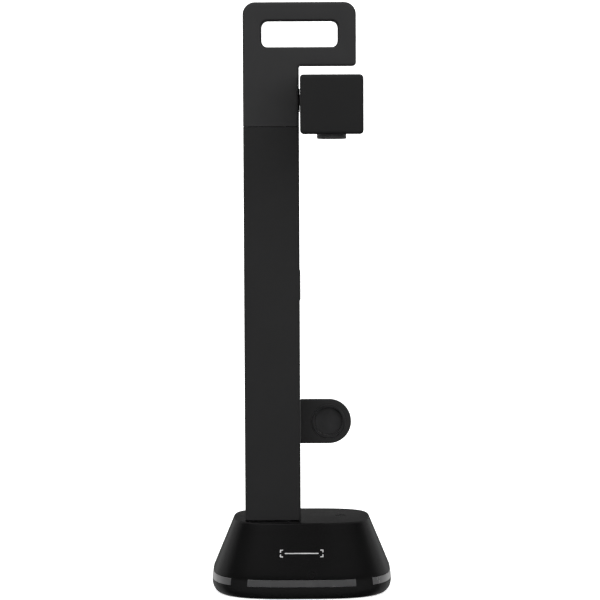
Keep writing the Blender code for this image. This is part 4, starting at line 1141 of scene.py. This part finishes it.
def cover_screws(looks):
    """Screws in the arm's cover."""
    centre = node_centre("lens_barrel")
    seat = node_box("arm_cover")[0].z + 0.8
    for tag, y in zip(("front", "rear"), COVER_SCREW_YS):
        low, high = node_box(f"cover_screw_{tag}")
        profile = [(low.z, 0.8), (low.z, 1.5), (low.z + 0.15, 1.8), (low.z + 0.4, 2.1)]
        profile += [(seat, 2.1), (seat, 1.0), (high.z - 1.0, 1.0), (high.z, 0.4)]
        screw = turned(f"arm_screw_{tag}", (centre.x, y, 0), "Z", profile, 40)
        for wide, long in ((0.28, 1.2), (1.2, 0.28)):
            slot_low = (centre.x - wide, y - long, low.z - 1)
            carve(screw, tool_box(slot_low, (centre.x + wide, y + long, low.z + 0.55)))
        dress(screw, "arm", looks["screw"], "screw_steel", f"cover_screw_{tag}")


# Materials of the CAD nodes that stay.

def dress_cad_nodes(looks):
    """Give every CAD node the look that is named by the first word of its slot."""
    for entry in frame["record"]["subparts"]:
        look = looks[entry["material_slot"].split("_")[0]]
        for material_slot in frame["nodes"][entry["node"]].material_slots:
            material_slot.material = look


# Stage, light and camera.

def stage():
    """Plain pale floor that curves up far behind the object."""
    bm = bmesh.new()
    profile = [(-6.0, 0.0), (2.0, 0.0)]
    for k in range(1, 17):
        angle = math.pi / 2 * k / 16
        profile.append((2.0 + 1.5 * math.sin(angle), 1.5 * (1 - math.cos(angle))))
    profile.append((3.5, 5.0))
    rows = [[bm.verts.new((x, y, z - 0.0003)) for x in (-6.0, 6.0)] for y, z in profile]
    for near, far in zip(rows, rows[1:]):
        bm.faces.new((near[0], near[1], far[1], far[0]))
    mesh = bpy.data.meshes.new("studio_floor")
    bm.to_mesh(mesh)
    bm.free()
    mesh.shade_smooth()
    floor = new_object("studio_floor", mesh)
    mesh.materials.append(floor_paint("studio_floor"))
    floor.visible_glossy = False
    floor.visible_diffuse = False


def area_light(name, place, target, size, power):
    """A soft rectangular light aimed at a point."""
    data = bpy.data.lights.new(name, "AREA")
    data.shape = "RECTANGLE"
    data.size, data.size_y = size
    data.energy = power
    light = new_object(name, data)
    light.location = place
    aim = Vector(target) - Vector(place)
    light.rotation_euler = aim.to_track_quat("-Z", "Y").to_euler()


def zone(tree, value, low, high, strength):
    """A soft step of a value between two limits."""
    return remap(tree, value, low, high, 0.0, strength, "SMOOTHSTEP")


def total(tree, *values):
    """Sum of sockets and numbers."""
    result = values[0]
    for value in values[1:]:
        result = maths(tree, "ADD", result, value)
    return result


def surround():
    """White to the camera, soft from the front and the rear sides for matt light, dim for gloss."""
    world = bpy.data.worlds.new("studio")
    world.use_nodes = True
    world.cycles.sampling_method = "NONE"
    tree = world.node_tree
    background = tree.nodes["Background"]
    background.inputs["Color"].default_value = (1.0, 1.0, 1.0, 1.0)
    parts = add(tree, "ShaderNodeSeparateXYZ")
    tree.links.new(add(tree, "ShaderNodeTexCoord").outputs["Generated"], parts.inputs[0])
    x, y, z = parts.outputs
    ahead = product(tree, y, -1.0)
    sideways = maths(tree, "ABSOLUTE", x, 0.0)
    flatness = maths(tree, "SUBTRACT", 1.0, maths(tree, "ABSOLUTE", z, 0.0))
    front = product(tree, zone(tree, ahead, 0.15, 0.9, 2.72), zone(tree, z, -0.4, 0.3, 1.0))
    sides = product(tree, zone(tree, sideways, 0.35, 0.9, 1.6), zone(tree, y, -0.1, 0.4, 1.0))
    matt = total(tree, front, sides, zone(tree, y, 0.1, 0.9, 0.8), zone(tree, z, 0.2, 0.95, 0.4), 0.1)
    behind = product(tree, zone(tree, y, 0.0, 0.5, 1.0), zone(tree, sideways, 0.15, 0.55, 0.25))
    level = product(tree, zone(tree, ahead, -0.5, 0.9, 0.155), zone(tree, flatness, 0.5, 0.8, 1.0))
    overhead = zone(tree, z, 0.66, 0.94, 0.155)
    gloss = total(tree, overhead, behind, level, zone(tree, y, 0.7, 1.0, 0.075), 0.02)
    path = add(tree, "ShaderNodeLightPath")
    inner = add(tree, "ShaderNodeMix", data_type="FLOAT")
    outer = add(tree, "ShaderNodeMix", data_type="FLOAT")
    tree.links.new(path.outputs["Is Glossy Ray"], inner.inputs[0])
    tree.links.new(matt, inner.inputs[2])
    tree.links.new(gloss, inner.inputs[3])
    tree.links.new(path.outputs["Is Camera Ray"], outer.inputs[0])
    tree.links.new(inner.outputs[0], outer.inputs[2])
    outer.inputs[3].default_value = SURROUND
    tree.links.new(outer.outputs[0], background.inputs["Strength"])
    bpy.context.scene.world = world


def lighting():
    """Soft studio light: a pale surround and one large panel above."""
    surround()
    area_light("panel_top", (-0.6, -0.2, 2.6), (0.0, 0.0, 0.1), (1.6, 1.6), 1.5)


def camera():
    """Camera straight in front, looking slightly down."""
    data = bpy.data.cameras.new("camera")
    data.lens = CAMERA_LENS
    data.sensor_width = 36.0
    data.clip_start = 0.05
    obj = new_object("camera", data)
    tilt = Matrix.Rotation(math.radians(90.0 - CAMERA_TILT), 4, "X")
    roll = Matrix.Rotation(math.radians(-CAMERA_ROLL), 4, "Z")
    obj.matrix_world = Matrix.Translation(CAMERA_PLACE) @ tilt @ roll
    bpy.context.scene.camera = obj


def make_looks():
    """All materials of the object by short name."""
    return {
        "base": moulded("base_plastic", (0.0034, 0.0034, 0.0036), 0.24, 0.5, 0.006, 0.4),
        "column": moulded("column_plastic", (0.0192, 0.0192, 0.0196), 0.46, 0.15),
        # Head plastic: a lighter copy of the column's plastic; the difference is painted light for a
        # head face that catches more light.
        "head": moulded("head_plastic", (0.0298, 0.0298, 0.0305), 0.48, 0.15),
        "arm": moulded("arm_plastic", (0.0156, 0.0156, 0.0160), 0.46, 0.15),
        "dock": moulded("dock_plastic", (0.0210, 0.0210, 0.0214), 0.46, 0.15),
        "strip": rubber("strip_rubber", (0.042, 0.042, 0.043), 0.24, 0.6, 0.5, 0.02, 0.5),
        "rim": rubber("rim_rubber", (0.0155, 0.0155, 0.0160), 0.5, 0.2),
        # Cup felt: a real pad, but its lighter tone is painted light for the shaded cup floor.
        "felt": rubber("cup_felt_painted_light", (0.0265, 0.0265, 0.0272), 0.8, 0.1, 0.35, 0.08),
        "bumper": rubber("bumper_rubber", (0.060, 0.060, 0.062), 0.65),
        "black": rubber("black_rubber", (0.010, 0.010, 0.010), 0.72, 0.35, 0.8, 0.08),
        "key": moulded("key_plastic", (0.0042, 0.0042, 0.0044), 0.25, 0.5, 0.006, 0.4),
        # Pale grey of the dock seal: a painted highlight for the lit column edge beside the dock.
        "seal": rubber("seal_painted_highlight", (0.11, 0.11, 0.11), 0.5, 0.3, 0.4, 0.02),
        "dark": moulded("dark_plastic", (0.012, 0.012, 0.0125), 0.5, 0.4),
        # Lens barrel: much lighter than the arm's plastic. The extra lightness is painted light against
        # the shadow under the arm.
        "barrel": moulded("barrel_plastic", (0.055, 0.055, 0.056), 0.30, 0.5, 0.01, 0.4),
        "screw": metal("screw_steel", (0.50, 0.50, 0.51), 0.32),
        "plain": metal("plain_steel", (0.34, 0.34, 0.35), 0.45),
        "brass": metal("turned_brass", (0.72, 0.54, 0.24), 0.34),
        "circuit": circuit_board("circuit_board"),
        "lens": coated_glass("lens_glass"),
        "frosted": frosted("frosted_window"),
        "print": rubber("sign_print", (0.42, 0.42, 0.42), 0.55, 0.35, 0.3, 0.01),
    }


def main():
    """Dress the frame, build the pieces and set the studio."""
    looks = make_looks()
    dress_cad_nodes(looks)
    base_cover(looks)
    trim_strips(looks)
    base_underside(looks)
    capture_key(looks)
    usb_port(looks)
    front_pictogram(looks)
    column(looks)
    bumper(looks)
    head(looks)
    head_seals(looks)
    hinge_ring(looks)
    dock(looks)
    arm_housing(looks)
    arm_cover(looks)
    lamp_window(looks)
    lens(looks)
    cover_screws(looks)
    stage()
    lighting()
    camera()
    bpy.context.scene.view_settings.view_transform = "Standard"


main()
